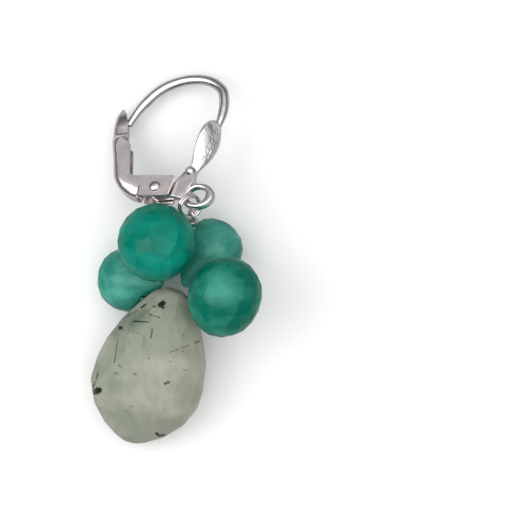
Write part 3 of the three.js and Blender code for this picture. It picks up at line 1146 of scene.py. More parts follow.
@dataclass
class EarHook:
    """Bent wire, domed leaf, knob, hinge plate and bottom ring, which are soldered into one."""

    layout: Layout
    wire: float = 1.2
    thin_wire: float = 0.86
    leaf_taper: float = 0.16
    free_taper: float = 0.2
    free_end: float = -3.8
    reach: float = 8.15
    top: float = 14.15
    wire_rows: tuple[Pair, ...] = (
        (0.918, 0.5), (0.975, 0.62), (1, 0.75), (0.978, 0.86), (0.905, 0.93), (0.79, 0.98),
        (0.6, 1), (0.409, 0.969), (0.299, 0.923), (0.198, 0.855), (0.107, 0.778), (0, 0.65),
    )
    leaf_foot: Pair = (4.5, 1.6)
    leaf_top: Pair = (7.42, 7.85)
    leaf_half: float = 2.35
    leaf_bulge: float = 1.35
    leaf_hollow: float = 0.8
    leaf_wall: float = 0.6
    leaf_edge: float = 0.25
    leaf_curve: float = 1.5
    leaf_crest: float = 1.05
    leaf_rows: tuple[Pair, ...] = (
        (0, 0.2), (0.12, 0.28), (0.25, 0.46), (0.4, 0.7), (0.55, 0.9), (0.68, 0.99),
        (0.79, 1), (0.88, 0.86), (0.95, 0.6), (1, 0.3),
    )
    pebble: float = 0.1
    pebble_size: float = 0.62
    pebbled_half: float = 0.7
    pebbled_from: float = 0.2
    pebbled_to: float = 0.93
    plate: float = 1.3
    plate_rounding: float = 0.09
    plate_foot: float = 1.05
    plate_rows: tuple[Pair, ...] = (
        (1.44, -1.05), (2.44, -1.34), (3.3, -1.75), (3.75, -1.9), (3.75, -0.55), (4.2, -0.1),
        (4.62, 0.44), (4.55, 0.95), (4.62, 1.4), (4.75, 1.85), (4.1, 2.05), (3.45, 1.85),
        (3.12, 1.5), (2.25, 0.6), (1.7, 0.35), (1.1, 0.55),
    )
    ring_middle: Pair = (4.97, -1.43)
    ring_half: Pair = (2.02, 1.55)
    hole_middle: Pair = (4.9, -1.36)
    hole_half: Pair = (1.12, 0.98)
    ring_thickness: float = 1.1
    ring_rounding: float = 0.24
    knob: float = 0.74
    knob_stretch: float = 1.4

    def wire_skin(self) -> Skin:
        """Bends the ear wire, thinner at both ends and rounded at the free one.

        Returns:
            The wire's skin.
        """
        path = [
            self.layout.clasp(self.free_end + across * (self.reach - self.free_end), up * self.top)
            for across, up in self.wire_rows
        ]
        count = 160
        radii = []
        for i in range(count):
            share = i / (count - 1)
            full = min(1.0, share / self.leaf_taper, (1 - share) / self.free_taper)
            swell = full * full * (3 - 2 * full)
            radii.append((self.thin_wire + (self.wire - self.thin_wire) * swell) / 2)
        return tube(catmull_rom(path, count), radii, sides=28, blunt=0.5)

    def leaf_skin(self) -> Skin:
        """Shapes the domed leaf: a smooth rim round a pebbled front, and a hollow back.

        Returns:
            The leaf's skin.
        """
        foot = Vector(self.leaf_foot)
        reach = Vector(self.leaf_top) - foot
        outward = Vector((reach.y, -reach.x)).normalized()
        rows = 110
        columns = 72
        edge_fullness = 8
        sections = []
        for row in range(rows + 1):
            along = row / rows
            width = along_table(self.leaf_rows, along) * self.leaf_half
            middle = foot + Vector((reach.x * along**self.leaf_curve, reach.y * along))
            bulge = self.leaf_bulge * math.sin(math.pi * along**self.leaf_crest)
            front = []
            back = []
            for column in range(columns + 1):
                share = 2 * column / columns - 1
                dome = 1 - share * share
                edge = (1 - abs(share) ** edge_fullness) ** 0.5
                spot = Vector((middle.x, middle.y, share * width))
                rise = (bulge + self.leaf_wall / 2) * dome + self.relief(spot, share, along)
                front.append(self.layout.clasp(*(middle + outward * rise), share * width))
                sink = bulge * self.leaf_hollow * dome
                sink -= self.leaf_wall * (self.leaf_edge + (1 - self.leaf_edge) * edge)
                back.append(self.layout.clasp(*(middle + outward * sink), share * width))
            sections.append(front + back[::-1])
        return loft(sections)

    def relief(self, spot: Vector, share: float, along: float) -> float:
        """Height of the pebbles over the leaf's smooth front.

        Args:
            spot: The place, in the clasp's plane.
            share: Where it lies across the leaf, from -1 to 1.
            along: Where it lies along the leaf, from 0 to 1.

        Returns:
            The height, which is 0 on the smooth rim.
        """
        steepness = 2.2
        fullness = 0.6
        level = 0.9
        side_fade = 0.15
        foot_fade = 0.08
        top_fade = 0.05
        near = noise.voronoi(spot / self.pebble_size)[0]
        pebble = limited((near[1] - near[0]) * steepness) ** fullness
        inside = limited((self.pebbled_half - abs(share)) / side_fade)
        inside *= (
            limited((along - self.pebbled_from) / foot_fade)
            * limited((self.pebbled_to - along) / top_fade)
        )
        return self.pebble * (pebble - level) * inside

    def plate_skin(self) -> Skin:
        """Cuts the flat plate between the lever's cheeks, up to the leaf and down to the ring.

        Returns:
            The plate's skin.
        """
        turns = [math.radians(degrees) for degrees in range(60, 275, 8)]
        foot = [(self.plate_foot * math.cos(turn), self.plate_foot * math.sin(turn)) for turn in turns]
        return flat_plate([[*foot, *self.plate_rows]], self.plate, self.plate_rounding, self.layout.clasp)

    def ring_skin(self) -> Skin:
        """The oval bottom ring."""
        outlines = [oval(self.ring_middle, self.ring_half), oval(self.hole_middle, self.hole_half)]
        return flat_plate(outlines, self.ring_thickness, self.ring_rounding, self.layout.clasp)

    def knob_skin(self) -> Skin:
        """Turns the small ball at the leaf's foot.

        Returns:
            The ball's skin.
        """
        middle = Vector((self.leaf_foot[0] - self.knob / 2, self.leaf_foot[1] + self.knob / 3))
        steps = 20
        turns = [math.pi * i / steps for i in range(steps + 1)]
        profile = [
            (max(self.knob * math.sin(turn), NEAR_AXIS), self.knob * math.cos(turn))
            for turn in turns
        ]

        def place(across: float, up: float, height: float) -> Vector:
            """A point of the ball, which is stretched along the clasp's normal."""
            return self.layout.clasp(middle.x + across, middle.y + up, height * self.knob_stretch)

        return lathe(profile, place, sides=28)

    def build(
        self,
        silver: bpy.types.Material,
        pebbled: bpy.types.Material,
        sheet: bpy.types.Material,
    ) -> None:
        """Makes and dresses the pieces that stand for the ear hook.

        Args:
            silver: Polished silver.
            pebbled: Silver of the leaf.
            sheet: Silver of the flat plate.
        """
        wire = make_piece("hook_wire", self.wire_skin(), silver, Shading.ROUND)
        leaf = make_piece("leaf_ornament", self.leaf_skin(), pebbled, Shading.SHEET)
        plate = make_piece("hinge_plate", self.plate_skin(), sheet, Shading.SHEET)
        ring = make_piece("bottom_ring", self.ring_skin(), silver, Shading.SHEET)
        knob = make_piece("leaf_knob", self.knob_skin(), silver, Shading.ROUND)
        even_normals(plate)
        even_normals(ring)
        for piece in (wire, leaf, plate, ring, knob):
            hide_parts("ear_hook")


@dataclass(frozen=True)
class BendRow:
    """One section of the lever's bent back.

    It gives the back's outermost point, the crease where the flat cheek starts, half the width, and the
    rounding between the back and the cheek.
    """

    back: Pair
    crease: Pair
    half: float
    rounding: float


@dataclass
class Lever:
    """Bent sheet with two cheeks, a soft heel and a pointed thumb tab."""

    layout: Layout
    sheet: float = 0.4
    half: float = 1.4
    rows: tuple[BendRow, ...] = (
        BendRow((-2.5, -0.98), (-1.95, 0.4), 1.4, 0.9),
        BendRow((-3.3, -0.64), (-2.45, 0.85), 1.4, 0.9),
        BendRow((-4.1, 0.0), (-3.0, 1.3), 1.4, 0.85),
        BendRow((-4.75, 0.78), (-3.6, 1.75), 1.4, 0.75),
        BendRow((-5.15, 1.65), (-4.15, 2.2), 1.4, 0.7),
        BendRow((-5.3, 2.6), (-4.5, 2.9), 1.4, 0.62),
        BendRow((-5.36, 4.5), (-4.74, 4.6), 1.4, 0.58),
        BendRow((-5.52, 6.6), (-4.8, 6.7), 1.4, 0.55),
        BendRow((-5.54, 7.05), (-4.88, 7.1), 1.14, 0.5),
        BendRow((-5.5, 7.8), (-4.9, 7.8), 1.1, 0.5),
        BendRow((-5.44, 8.5), (-4.85, 8.5), 1.1, 0.5),
        BendRow((-5.3, 9.3), (-4.78, 9.35), 1.02, 0.45),
        BendRow((-5.02, 10.3), (-4.62, 10.35), 0.8, 0.35),
        BendRow((-4.62, 11.05), (-4.45, 11.1), 0.45, 0.2),
    )
    near_flange: tuple[Pair, ...] = (
        (0.3, 0.15), (6.6, 0.15), (7.1, 1.15), (8.5, 1.2), (9.6, 0.95), (10.4, 0.5), (11.2, 0.12),
    )
    far_flange: tuple[Pair, ...] = (
        (0.3, 0.15), (6.6, 0.15), (7.1, 0.65), (8.5, 0.75), (9.6, 0.6), (10.4, 0.35), (11.2, 0.12),
    )
    leg_rows: int = 8
    cheek_foot: tuple[Pair, ...] = ((-2.12, -0.84), (-0.4, -1.12), (1.5, -1.36))
    cheek_tip: Pair = (2.47, 0.9)
    tip_rounding: float = 0.25
    bend_middle: Pair = (-2.6, 2.4)
    bend_radius: float = 0.6
    cheek_top: tuple[Pair, ...] = ((-3.2, 6.1), (-3.5, 6.4), (-4.3, 7.1))
    far_set_back: float = 0.45
    set_back_from: float = 1.9
    rim: float = 0.14
    rim_angle: float = 50.0

    def sections(self) -> tuple[list[list[Vector]], int]:
        """Sections of the bent back.

        Returns:
            The sections, and how many of them belong to the leg and the heel.
        """
        count = 91
        backs = catmull_rom([Vector((*row.back, row.half)) for row in self.rows], count)
        creases = catmull_rom([Vector((*row.crease, row.rounding)) for row in self.rows], count)
        leg_top = self.rows[self.leg_rows - 1].crease[1] + TINY
        result = []
        leg = 0
        for outer, crease in zip(backs, creases):
            if crease.y <= leg_top:
                leg += 1
            result.append(self.section(outer, crease))
        return result, leg

    def section(self, outer: Vector, crease: Vector) -> list[Vector]:
        """One section, from the near cheek's crease round the back to the far one.

        Args:
            outer: Place of the back, and half the width.
            crease: Place of the crease, and the rounding.

        Returns:
            The section's points.
        """
        steps = 9
        flat = 4
        straight = outer.z - crease.z
        height = max(crease.y, self.near_flange[0][0])
        near = [(crease.x + along_table(self.near_flange, height), crease.y, outer.z)]
        far = [(crease.x + along_table(self.far_flange, height), crease.y, -outer.z)]
        for i in range(steps + 1):
            angle = math.pi / 2 * i / steps
            share = math.sin(angle)
            x = crease.x + (outer.x - crease.x) * share
            y = crease.y + (outer.y - crease.y) * share
            z = straight + crease.z * math.cos(angle)
            near.append((x, y, z))
            far.append((x, y, -z))
        middle = [(outer.x, outer.y, straight * (1 - 2 * (i + 1) / flat)) for i in range(flat - 1)]
        return [self.layout.clasp(*spot) for spot in (*near, *middle, *reversed(far))]

    def cheek_outline(self) -> list[Pair]:
        """Lists the cheek's own corners, from the foot of the crease round to its top.

        Returns:
            The corners.
        """
        x, y = self.cheek_tip
        tip = [
            (x - self.tip_rounding * (1 - math.cos(turn)), y + self.tip_rounding * math.sin(turn))
            for turn in (0.0, 0.4, 0.8, 1.2, 1.57)
        ]
        x, y = self.bend_middle
        bend = [
            (x - self.bend_radius * math.sin(turn), y - self.bend_radius * math.cos(turn))
            for turn in (0.0, 0.25, 0.5, 0.75, 1.0, 1.25, 1.57)
        ]
        return [*self.cheek_foot, *tip, *bend, *self.cheek_top]

    def skin(self) -> Skin:
        """Joins the sheet's outer face: the bent back and the two flat cheeks.

        Returns:
            The face's skin.
        """
        sections, leg = self.sections()
        count = len(sections[0])
        points = [point for section in sections for point in section]
        faces: list[tuple[int, ...]] = []
        for row in range(len(sections) - 1):
            for i in range(count - 1):
                a = row * count + i
                faces.append((a, a + 1, a + count + 1, a + count))
        outline = self.cheek_outline()
        for z, column, set_back in ((self.half, 0, 0.0), (-self.half, count - 1, self.far_set_back)):
            start = len(points)
            for x, y in outline:
                moved = x - set_back if y > self.set_back_from else x
                points.append(self.layout.clasp(moved, y, z))
            own = list(range(start, start + len(outline)))
            crease = [row * count + column for row in reversed(range(leg))]
            faces.append(tuple(own + crease))
        return Skin(points, faces)

    def build(self, sheet: bpy.types.Material) -> None:
        """Makes and dresses the lever.

        Args:
            sheet: Silver of the bent sheet.
        """
        lever = make_piece("lever_sheet", self.skin(), sheet, Shading.SHEET, body=Body.LEVER)
        cheek = max(lever.data.polygons, key=lambda face: (face.area, face.center.z))
        side = (cheek.center / MM - self.layout.pivot).dot(self.layout.normal)
        if cheek.normal.dot(self.layout.normal) * side < 0:
            lever.data.flip_normals()
        thick = lever.modifiers.new("sheet", "SOLIDIFY")
        thick.thickness = self.sheet * MM
        thick.offset = -1
        thick.use_even_offset = False
        rims = lever.modifiers.new("soft_rims", "BEVEL")
        rims.width = self.rim * MM
        rims.segments = 3
        rims.limit_method = "ANGLE"
        rims.angle_limit = math.radians(self.rim_angle)
        even_normals(lever)
        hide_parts("lever")


@dataclass
class Rivet:
    """Pin with two domed heads."""

    layout: Layout
    pin: float = 0.28
    head: float = 0.69
    face: float = 1.45
    rise: float = 0.36

    def build(self, silver: bpy.types.Material) -> None:
        """Makes and dresses the rivet.

        Args:
            silver: Polished silver.
        """
        steps = 9
        rim = 0.02
        fullness = 0.8
        turns = [math.pi / 2 * i / steps for i in range(steps + 1)]
        dome = [(self.head * math.cos(turn), self.rise * math.sin(turn) ** fullness) for turn in turns]
        upper = [(self.pin, self.face), (self.head - rim, self.face)]
        upper += [(max(radius, NEAR_AXIS), self.face + rim + height) for radius, height in dome]
        profile = [(radius, -height) for radius, height in reversed(upper)] + upper
        skin = lathe(profile, self.layout.clasp, sides=32)
        rivet = make_piece("rivet_heads", skin, silver, Shading.SHEET)
        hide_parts("rivet")


# Wire


@dataclass
class Hanging:
    """Double jump ring, wire eye with its twisted neck, crimp and the wire through the stones."""

    layout: Layout
    ring_middle: Pair = (4.97, -1.43)
    band: Pair = (1.586, 1.3)
    seat: float = 232.0
    crossing: float = 42.0
    loop_top: Triple = (2.15, 3.7, 7.4)
    slack: float = 0.1
    jump_radius: float = 1.3
    jump_wire: float = 0.38
    pitch: float = 0.41
    turns: int = 2
    lead: float = 0.25
    eye_radius: float = 0.56
    eye_drop: float = -0.08
    wire: float = 0.36
    neck: float = 1.4
    neck_turns: float = 2.5
    neck_end: float = 0.1
    strand: float = 0.27
    crimp_start: float = 0.1
    crimp_length: float = 0.72
    crimp_bore: float = 0.44
    crimp_rim: float = 0.75
    crimp_foot: float = 0.55
    bore_radius: float = 0.28
    route: tuple[Triple, ...] = (
        (0.9, 2.5, 7.5), (-0.84, 0.94, 7.47), (-2.5, -0.2, 6.5), (-3.55, -1.1, 5.5), (-3.66, -2.6, 5.4),
        (-3.85, -4.0, 6.1), (-3.85, -4.85, 7.1), (-2.6, -5.1, 7.5), (0.4, -5.4, 7.55), (2.4, -5.6, 7.8),
        (3.5, -5.0, 8.0), (4.4, -3.9, 7.8), (5.1, -2.8, 6.6), (5.0, -1.6, 5.3), (3.65, -0.93, 4.8),
        (2.0, -0.3, 5.1), (1.1, 1.1, 6.6),
    )
    pull: Vector = field(init=False)
    jump_middle: Vector = field(init=False)
    axis: Vector = field(init=False)
    start: Vector = field(init=False)
    eye_middle: Vector = field(init=False)
    neck_top: Vector = field(init=False)
    neck_foot: Vector = field(init=False)

    def __post_init__(self) -> None:
        """Works out the directions and middles that the pieces share."""
        seat = math.radians(self.seat)
        crossing = math.radians(self.crossing)
        middle_x, middle_y = self.ring_middle
        band = self.layout.clasp(
            middle_x + self.band[0] * math.cos(seat),
            middle_y + self.band[1] * math.sin(seat),
        )
        self.pull = (self.layout.drawn(self.loop_top) - band).normalized()
        self.jump_middle = band + self.pull * self.slack
        self.axis = self.pull.cross(self.layout.spread(math.cos(crossing), math.sin(crossing))).normalized()
        self.start = self.axis.cross(self.pull)
        self.eye_middle = self.jump_middle + self.pull * (self.jump_radius + self.eye_drop)
        self.neck_top = self.eye_middle + self.pull * self.eye_radius
        self.neck_foot = self.neck_top + self.pull * (self.neck - self.wire / 2)

    def jump_skin(self) -> Skin:
        """Winds two turns of wire side by side.

        Returns:
            Their skin.
        """
        side = self.axis.cross(self.start)
        steps = 60 * self.turns
        path = []
        for i in range(steps + 1):
            turn = i / steps * self.turns
            angle = 2 * math.pi * turn
            path.append(
                self.jump_middle
                + self.start * self.jump_radius * math.cos(angle)
                + side * self.jump_radius * math.sin(angle)
                + self.axis * self.pitch * (turn - self.turns / 2 - self.lead)
            )
        return tube(path, self.jump_wire / 2, sides=16, blunt=0.25)

    def route_points(self, count: int) -> list[Vector]:
        """Points of the wire's way through the stones, from the neck and back to it."""
        spots = [self.layout.drawn(spot) for spot in self.route]
        return catmull_rom([self.neck_foot, *spots, self.neck_foot], count)

    def bore_skin(self) -> Skin:
        """The bore that the wire needs, all along its way through the stones."""
        return tube(self.route_points(160), self.bore_radius, sides=12)

    def wire_skin(self) -> Skin:
        """Bends the eye, the two strands of the neck and the loop through the stones.

        Returns:
            The wire's skin.
        """
        side = self.start.cross(self.pull)
        eye_steps = 56
        strand_steps = 48
        eye = []
        for i in range(eye_steps):
            turn = 2 * math.pi * i / eye_steps
            out = self.pull * math.cos(turn) + side * math.sin(turn)
            eye.append(self.eye_middle + out * self.eye_radius)
        skin = tube(eye, self.wire / 2, sides=14, ring=True)
        for phase in (0.0, math.pi):
            strand = []
            for i in range(strand_steps + 1):
                share = i / strand_steps
                turn = phase + 2 * math.pi * self.neck_turns * share
                out = (self.start * math.cos(turn) + side * math.sin(turn)) * self.strand / 2
                strand.append(self.neck_top + self.pull * (self.neck - self.neck_end) * share + out)
            skin = skin.add(tube(strand, self.strand / 2, sides=12, blunt=0.5))
        return skin.add(tube(self.route_points(320), self.wire / 2, sides=12, blunt=0.5))

    def crimp_skin(self) -> Skin:
        """Turns the short tapered sleeve with its straight rim.

        Returns:
            The sleeve's skin.
        """
        side = self.start.cross(self.pull)
        start = self.neck_top + self.pull * self.crimp_start
        bore = self.crimp_bore
        rim = self.crimp_rim
        foot = self.crimp_foot
        length = self.crimp_length
        profile = [
            (bore, 0.03), (bore + 0.03, 0), (rim - 0.04, 0), (rim, 0.04), (rim, 0.17), (rim - 0.03, 0.2),
            (foot + 0.02, length - 0.03), (foot - 0.01, length), (bore, length),
        ]

        def place(across: float, aside: float, height: float) -> Vector:
            """A point of the sleeve, from two directions across the neck and one along it."""
            return start + self.start * across + side * aside + self.pull * height

        return lathe(profile, place, sides=40)

    def build(self, silver: bpy.types.Material) -> None:
        """Makes and dresses the jump ring, the wire and the crimp.

        Args:
            silver: Polished silver.
        """
        jump_ring = make_piece("double_jump_ring", self.jump_skin(), silver, Shading.ROUND)
        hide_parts("jump_ring")
        wire = make_piece("wire_through_stones", self.wire_skin(), silver, Shading.ROUND)
        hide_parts("stone_wire")
        crimp = make_piece("crimp_sleeve", self.crimp_skin(), silver, Shading.SHEET)
        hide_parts("crimp")


# Stones


def aim_matrix(forward: Vector, across: Vector) -> Matrix:
    """Makes the turn that takes +Z to a direction, and +X as near as it goes to another.

    Args:
        forward: Where +Z goes.
        across: What +X comes near to.

    Returns:
        The turn.
    """
    z = forward.normalized()
    x = (across - z * across.dot(z)).normalized()
    return Matrix((x, z.cross(x), z)).transposed()


def facet_hull(rows: Sequence[Pair], size: Triple, sides: int, turn: Matrix) -> bmesh.types.BMesh:
    """Cuts a faceted stone of staggered rows, with its table at the origin and its tip along the turned +Z.

    Args:
        rows: How far along and how wide each row of corners is, as shares of the size.
        size: Width, depth and length of the stone.
        sides: Corners of a row. The two rows next to the table have half as many.
        turn: Turn of the stone.

    Returns:
        The stone, in millimetres.
    """
    sketch = bmesh.new()
    for row, (along, radius) in enumerate(rows):
        count = sides // 2 if row < 2 else sides
        for i in range(count):
            angle = 2 * math.pi * (i + 0.5 * (row % 2)) / count
            spot = Vector((
                radius * size[0] / 2 * math.cos(angle),
                radius * size[1] / 2 * math.sin(angle),
                along * size[2],
            ))
            sketch.verts.new(turn @ spot)
    hull = bmesh.ops.convex_hull(sketch, input=sketch.verts)
    inner = [item for item in hull["geom_interior"] if isinstance(item, bmesh.types.BMVert)]
    bmesh.ops.delete(sketch, geom=inner, context="VERTS")
    bmesh.ops.dissolve_limit(sketch, angle_limit=math.radians(1), verts=sketch.verts, edges=sketch.edges)
    return sketch


def stone_mesh(sketch: bmesh.types.BMesh, name: str) -> bpy.types.Mesh:
    """Turns a stone's sketch into a mesh.

    Args:
        sketch: The stone, in millimetres. It is freed.
        name: The mesh's name.

    Returns:
        The mesh, in metres.
    """
    mesh = bpy.data.meshes.new(name)
    bmesh.ops.scale(sketch, verts=sketch.verts, vec=(MM, MM, MM))
    bmesh.ops.recalc_face_normals(sketch, faces=sketch.faces)
    sketch.to_mesh(mesh)
    sketch.free()
    return mesh


def drill(piece: bpy.types.Object, bore: Skin) -> None:
    """Cuts a bore out of a stone.

    Args:
        piece: The stone.
        bore: Skin of the bore.
    """
    mesh = bpy.data.meshes.new("bore")
    mesh.from_pydata([point * MM for point in bore.points], [], bore.faces)
    cutter = bpy.data.objects.new("bore", mesh)
    bpy.context.scene.collection.objects.link(cutter)
    modifier = piece.modifiers.new("bore", "BOOLEAN")
    modifier.operation = "DIFFERENCE"
    modifier.solver = "EXACT"
    modifier.object = cutter
    bpy.context.view_layer.update()
    cut = bpy.data.meshes.new_from_object(piece.evaluated_get(bpy.context.evaluated_depsgraph_get()))
    piece.modifiers.clear()
    old = piece.data
    piece.data = cut
    cut.name = piece.name
    bpy.data.meshes.remove(old)
    bpy.data.objects.remove(cutter)
    bpy.data.meshes.remove(mesh)


@dataclass
class Briolette:
    """Round faceted bead with a small table and a drilled tip."""

    node: str
    name: str
    place: Pair
    width: float
    depth: float
    tip: Triple
    finish: StoneFinish
    # Middle of the painted glow, a lighter area that stands in for light let through the bead, given from
    # the bead's middle, and its reach.
    glow_patch: Triple
    glow_patch_size: float
    sides: int = 16
    length_ratio: float = 1.12
    widest: float = 0.43
    rows: tuple[Pair, ...] = (
        (0.01, 0.26), (0.07, 0.6), (0.17, 0.84), (0.29, 0.96), (0.42, 1), (0.54, 0.945),
        (0.65, 0.82), (0.75, 0.65), (0.84, 0.46), (0.92, 0.27), (1, 0.09),
    )
    edge: float = 0.035
    middle: Vector = field(init=False)

    def build(self, layout: Layout, shared: Shared, bore: Skin) -> None:
        """Makes, drills and dresses the bead.

        Args:
            layout: The layout that it is placed by.
            shared: The shared node groups.
            bore: Skin of the bore.
        """
        length = self.width * self.length_ratio
        turn = aim_matrix(Vector(self.tip), Vector((0, 0, 1)))
        sketch = facet_hull(self.rows, (self.width, self.depth, length), self.sides, turn)
        bmesh.ops.translate(sketch, verts=sketch.verts, vec=turn @ Vector((0, 0, -self.widest * length)))
        bmesh.ops.bevel(
            sketch,
            geom=sketch.edges[:],
            offset=self.edge,
            segments=1,
            profile=0.5,
            affect="EDGES",
            clamp_overlap=True,
        )
        low = min(vert.co.z for vert in sketch.verts)
        self.middle = layout.drawn((*self.place, 0))
        self.middle.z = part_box(self.node)[0].z / MM - low
        bmesh.ops.translate(sketch, verts=sketch.verts, vec=self.middle)
        mesh = stone_mesh(sketch, self.name)
        # Painted glow of the bead, placed from its middle.
        glow_patch = self.middle + Vector(self.glow_patch)
        material, graph, shader, colour = self.finish.start(shared, self.name, glow_patch, self.glow_patch_size)
        graph.feed(shader.inputs["Base Color"], colour)
        bead = finish_piece(mesh, self.name, material, Shading.FACETED, Body.EARRING, Slot.GREEN)
        drill(bead, bore)
        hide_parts(self.node)


@dataclass(frozen=True)
class Inclusion:
    """A mark inside the pale stone, between two places as seen from above, in the part's frame."""

    start: Pair
    end: Pair
    width: float
    strength: float
    kind: Inside = Inside.NEEDLE


@dataclass(frozen=True)
class InsideLook:
    """Colour of one kind of inclusion, and how softly it fades into the stone."""

    tint: Colour
    softness: float


INSIDE_LOOKS = {
    Inside.SMOKE: InsideLook(tint=(0.085, 0.125, 0.08, 1), softness=0.95),
    Inside.RUST: InsideLook(tint=(0.05, 0.032, 0.012, 1), softness=0.45),
    Inside.NEEDLE: InsideLook(tint=(0.002, 0.005, 0.002, 1), softness=0.45),
}
INCLUSIONS = (
    Inclusion((-1.72, -5.45), (-1.42, -5.22), 0.42, 1.0),
    Inclusion((-1.48, -5.62), (-1.42, -5.74), 0.2, 1.0),
    Inclusion((-2.5, -5.6), (-2.42, -5.62), 0.16, 0.8),
    Inclusion((-2.99, -6.5), (-2.7, -6.6), 0.1, 0.8),
    Inclusion((-2.4, -6.72), (-2.26, -6.75), 0.1, 0.75),
    Inclusion((-2.05, -6.8), (-1.85, -6.88), 0.1, 0.8),
    Inclusion((-6.55, -7.4), (-5.5, -6.68), 0.075, 0.75),
    Inclusion((-5.5, -6.68), (-4.4, -6.02), 0.075, 0.75),
    Inclusion((-4.0, -5.7), (-3.45, -5.33), 0.15, 0.85),
    Inclusion((-5.0, -7.5), (-3.6, -6.2), 1.5, 0.6, Inside.SMOKE),
    Inclusion((-7.2, -8.6), (-5.6, -6.9), 1.1, 0.55, Inside.SMOKE),
    Inclusion((-2.9, -5.3), (0.6, -6.0), 1.6, 0.32, Inside.SMOKE),
    Inclusion((-3.9, -6.3), (-3.5, -7.0), 0.4, 0.45, Inside.SMOKE),
    Inclusion((-4.9, -7.33), (-3.15, -7.4), 0.12, 0.85),
    Inclusion((-6.65, -8.1), (-6.4, -8.12), 0.26, 0.85),
    Inclusion((-6.4, -8.2), (-5.2, -8.5), 0.07, 0.4),
    Inclusion((-5.2, -8.5), (-4.05, -8.84), 0.07, 0.4),
    Inclusion((-2.66, -8.25), (-2.85, -9.25), 0.1, 0.75),
    Inclusion((-3.62, -9.1), (-3.72, -10.5), 0.3, 0.3, Inside.SMOKE),
    Inclusion((-0.1, -6.95), (-0.22, -7.3), 0.08, 0.45),
    Inclusion((0.9, -9.0), (0.96, -9.03), 0.09, 0.6),
    Inclusion((-6.81, -9.54), (-7.19, -12.25), 0.075, 0.7),
    Inclusion((-5.4, -9.66), (-5.42, -10.1), 0.07, 0.4),
    Inclusion((-0.62, -10.97), (1.07, -10.33), 0.065, 0.7),
    Inclusion((1.07, -10.33), (2.76, -9.7), 0.065, 0.7),
    Inclusion((2.3, -9.9), (2.76, -9.7), 0.1, 0.8),
    Inclusion((0.82, -10.84), (0.9, -10.84), 0.08, 0.6),
    Inclusion((-0.66, -12.03), (-0.55, -12.1), 0.09, 0.65),
    Inclusion((-3.14, -11.66), (-3.08, -11.68), 0.1, 0.7),
    Inclusion((-6.72, -12.5), (-6.38, -12.68), 0.09, 0.65),
    Inclusion((1.0, -13.05), (1.25, -13.12), 0.08, 0.55),
    Inclusion((-4.85, -13.5), (-4.55, -13.58), 0.08, 0.6),
    Inclusion((-7.1, -13.45), (-6.8, -13.5), 0.24, 0.4, Inside.RUST),
    Inclusion((-9.4, -14.15), (-9.2, -13.5), 0.12, 0.75),
    Inclusion((-9.75, -14.7), (-9.55, -14.55), 0.16, 0.6, Inside.RUST),
    Inclusion((-9.75, -15.75), (-9.1, -15.55), 0.5, 1.0),
    Inclusion((-9.9, -15.2), (-9.7, -14.9), 0.22, 0.9),
    Inclusion((-1.2, -14.66), (-0.78, -14.48), 0.2, 0.8, Inside.RUST),
    Inclusion((-5.3, -17.32), (-4.95, -17.4), 0.09, 0.35),
    Inclusion((-3.95, -17.36), (-3.35, -17.3), 0.1, 0.35),
    Inclusion((-5.9, -17.9), (-5.6, -18.0), 0.08, 0.3),
    Inclusion((-1.5, -17.7), (-1.25, -17.78), 0.08, 0.3),
    Inclusion((-2.35, -20.7), (-2.05, -21.05), 0.22, 1.0),
    Inclusion((-2.05, -21.05), (-1.5, -20.95), 0.27, 1.0),
)


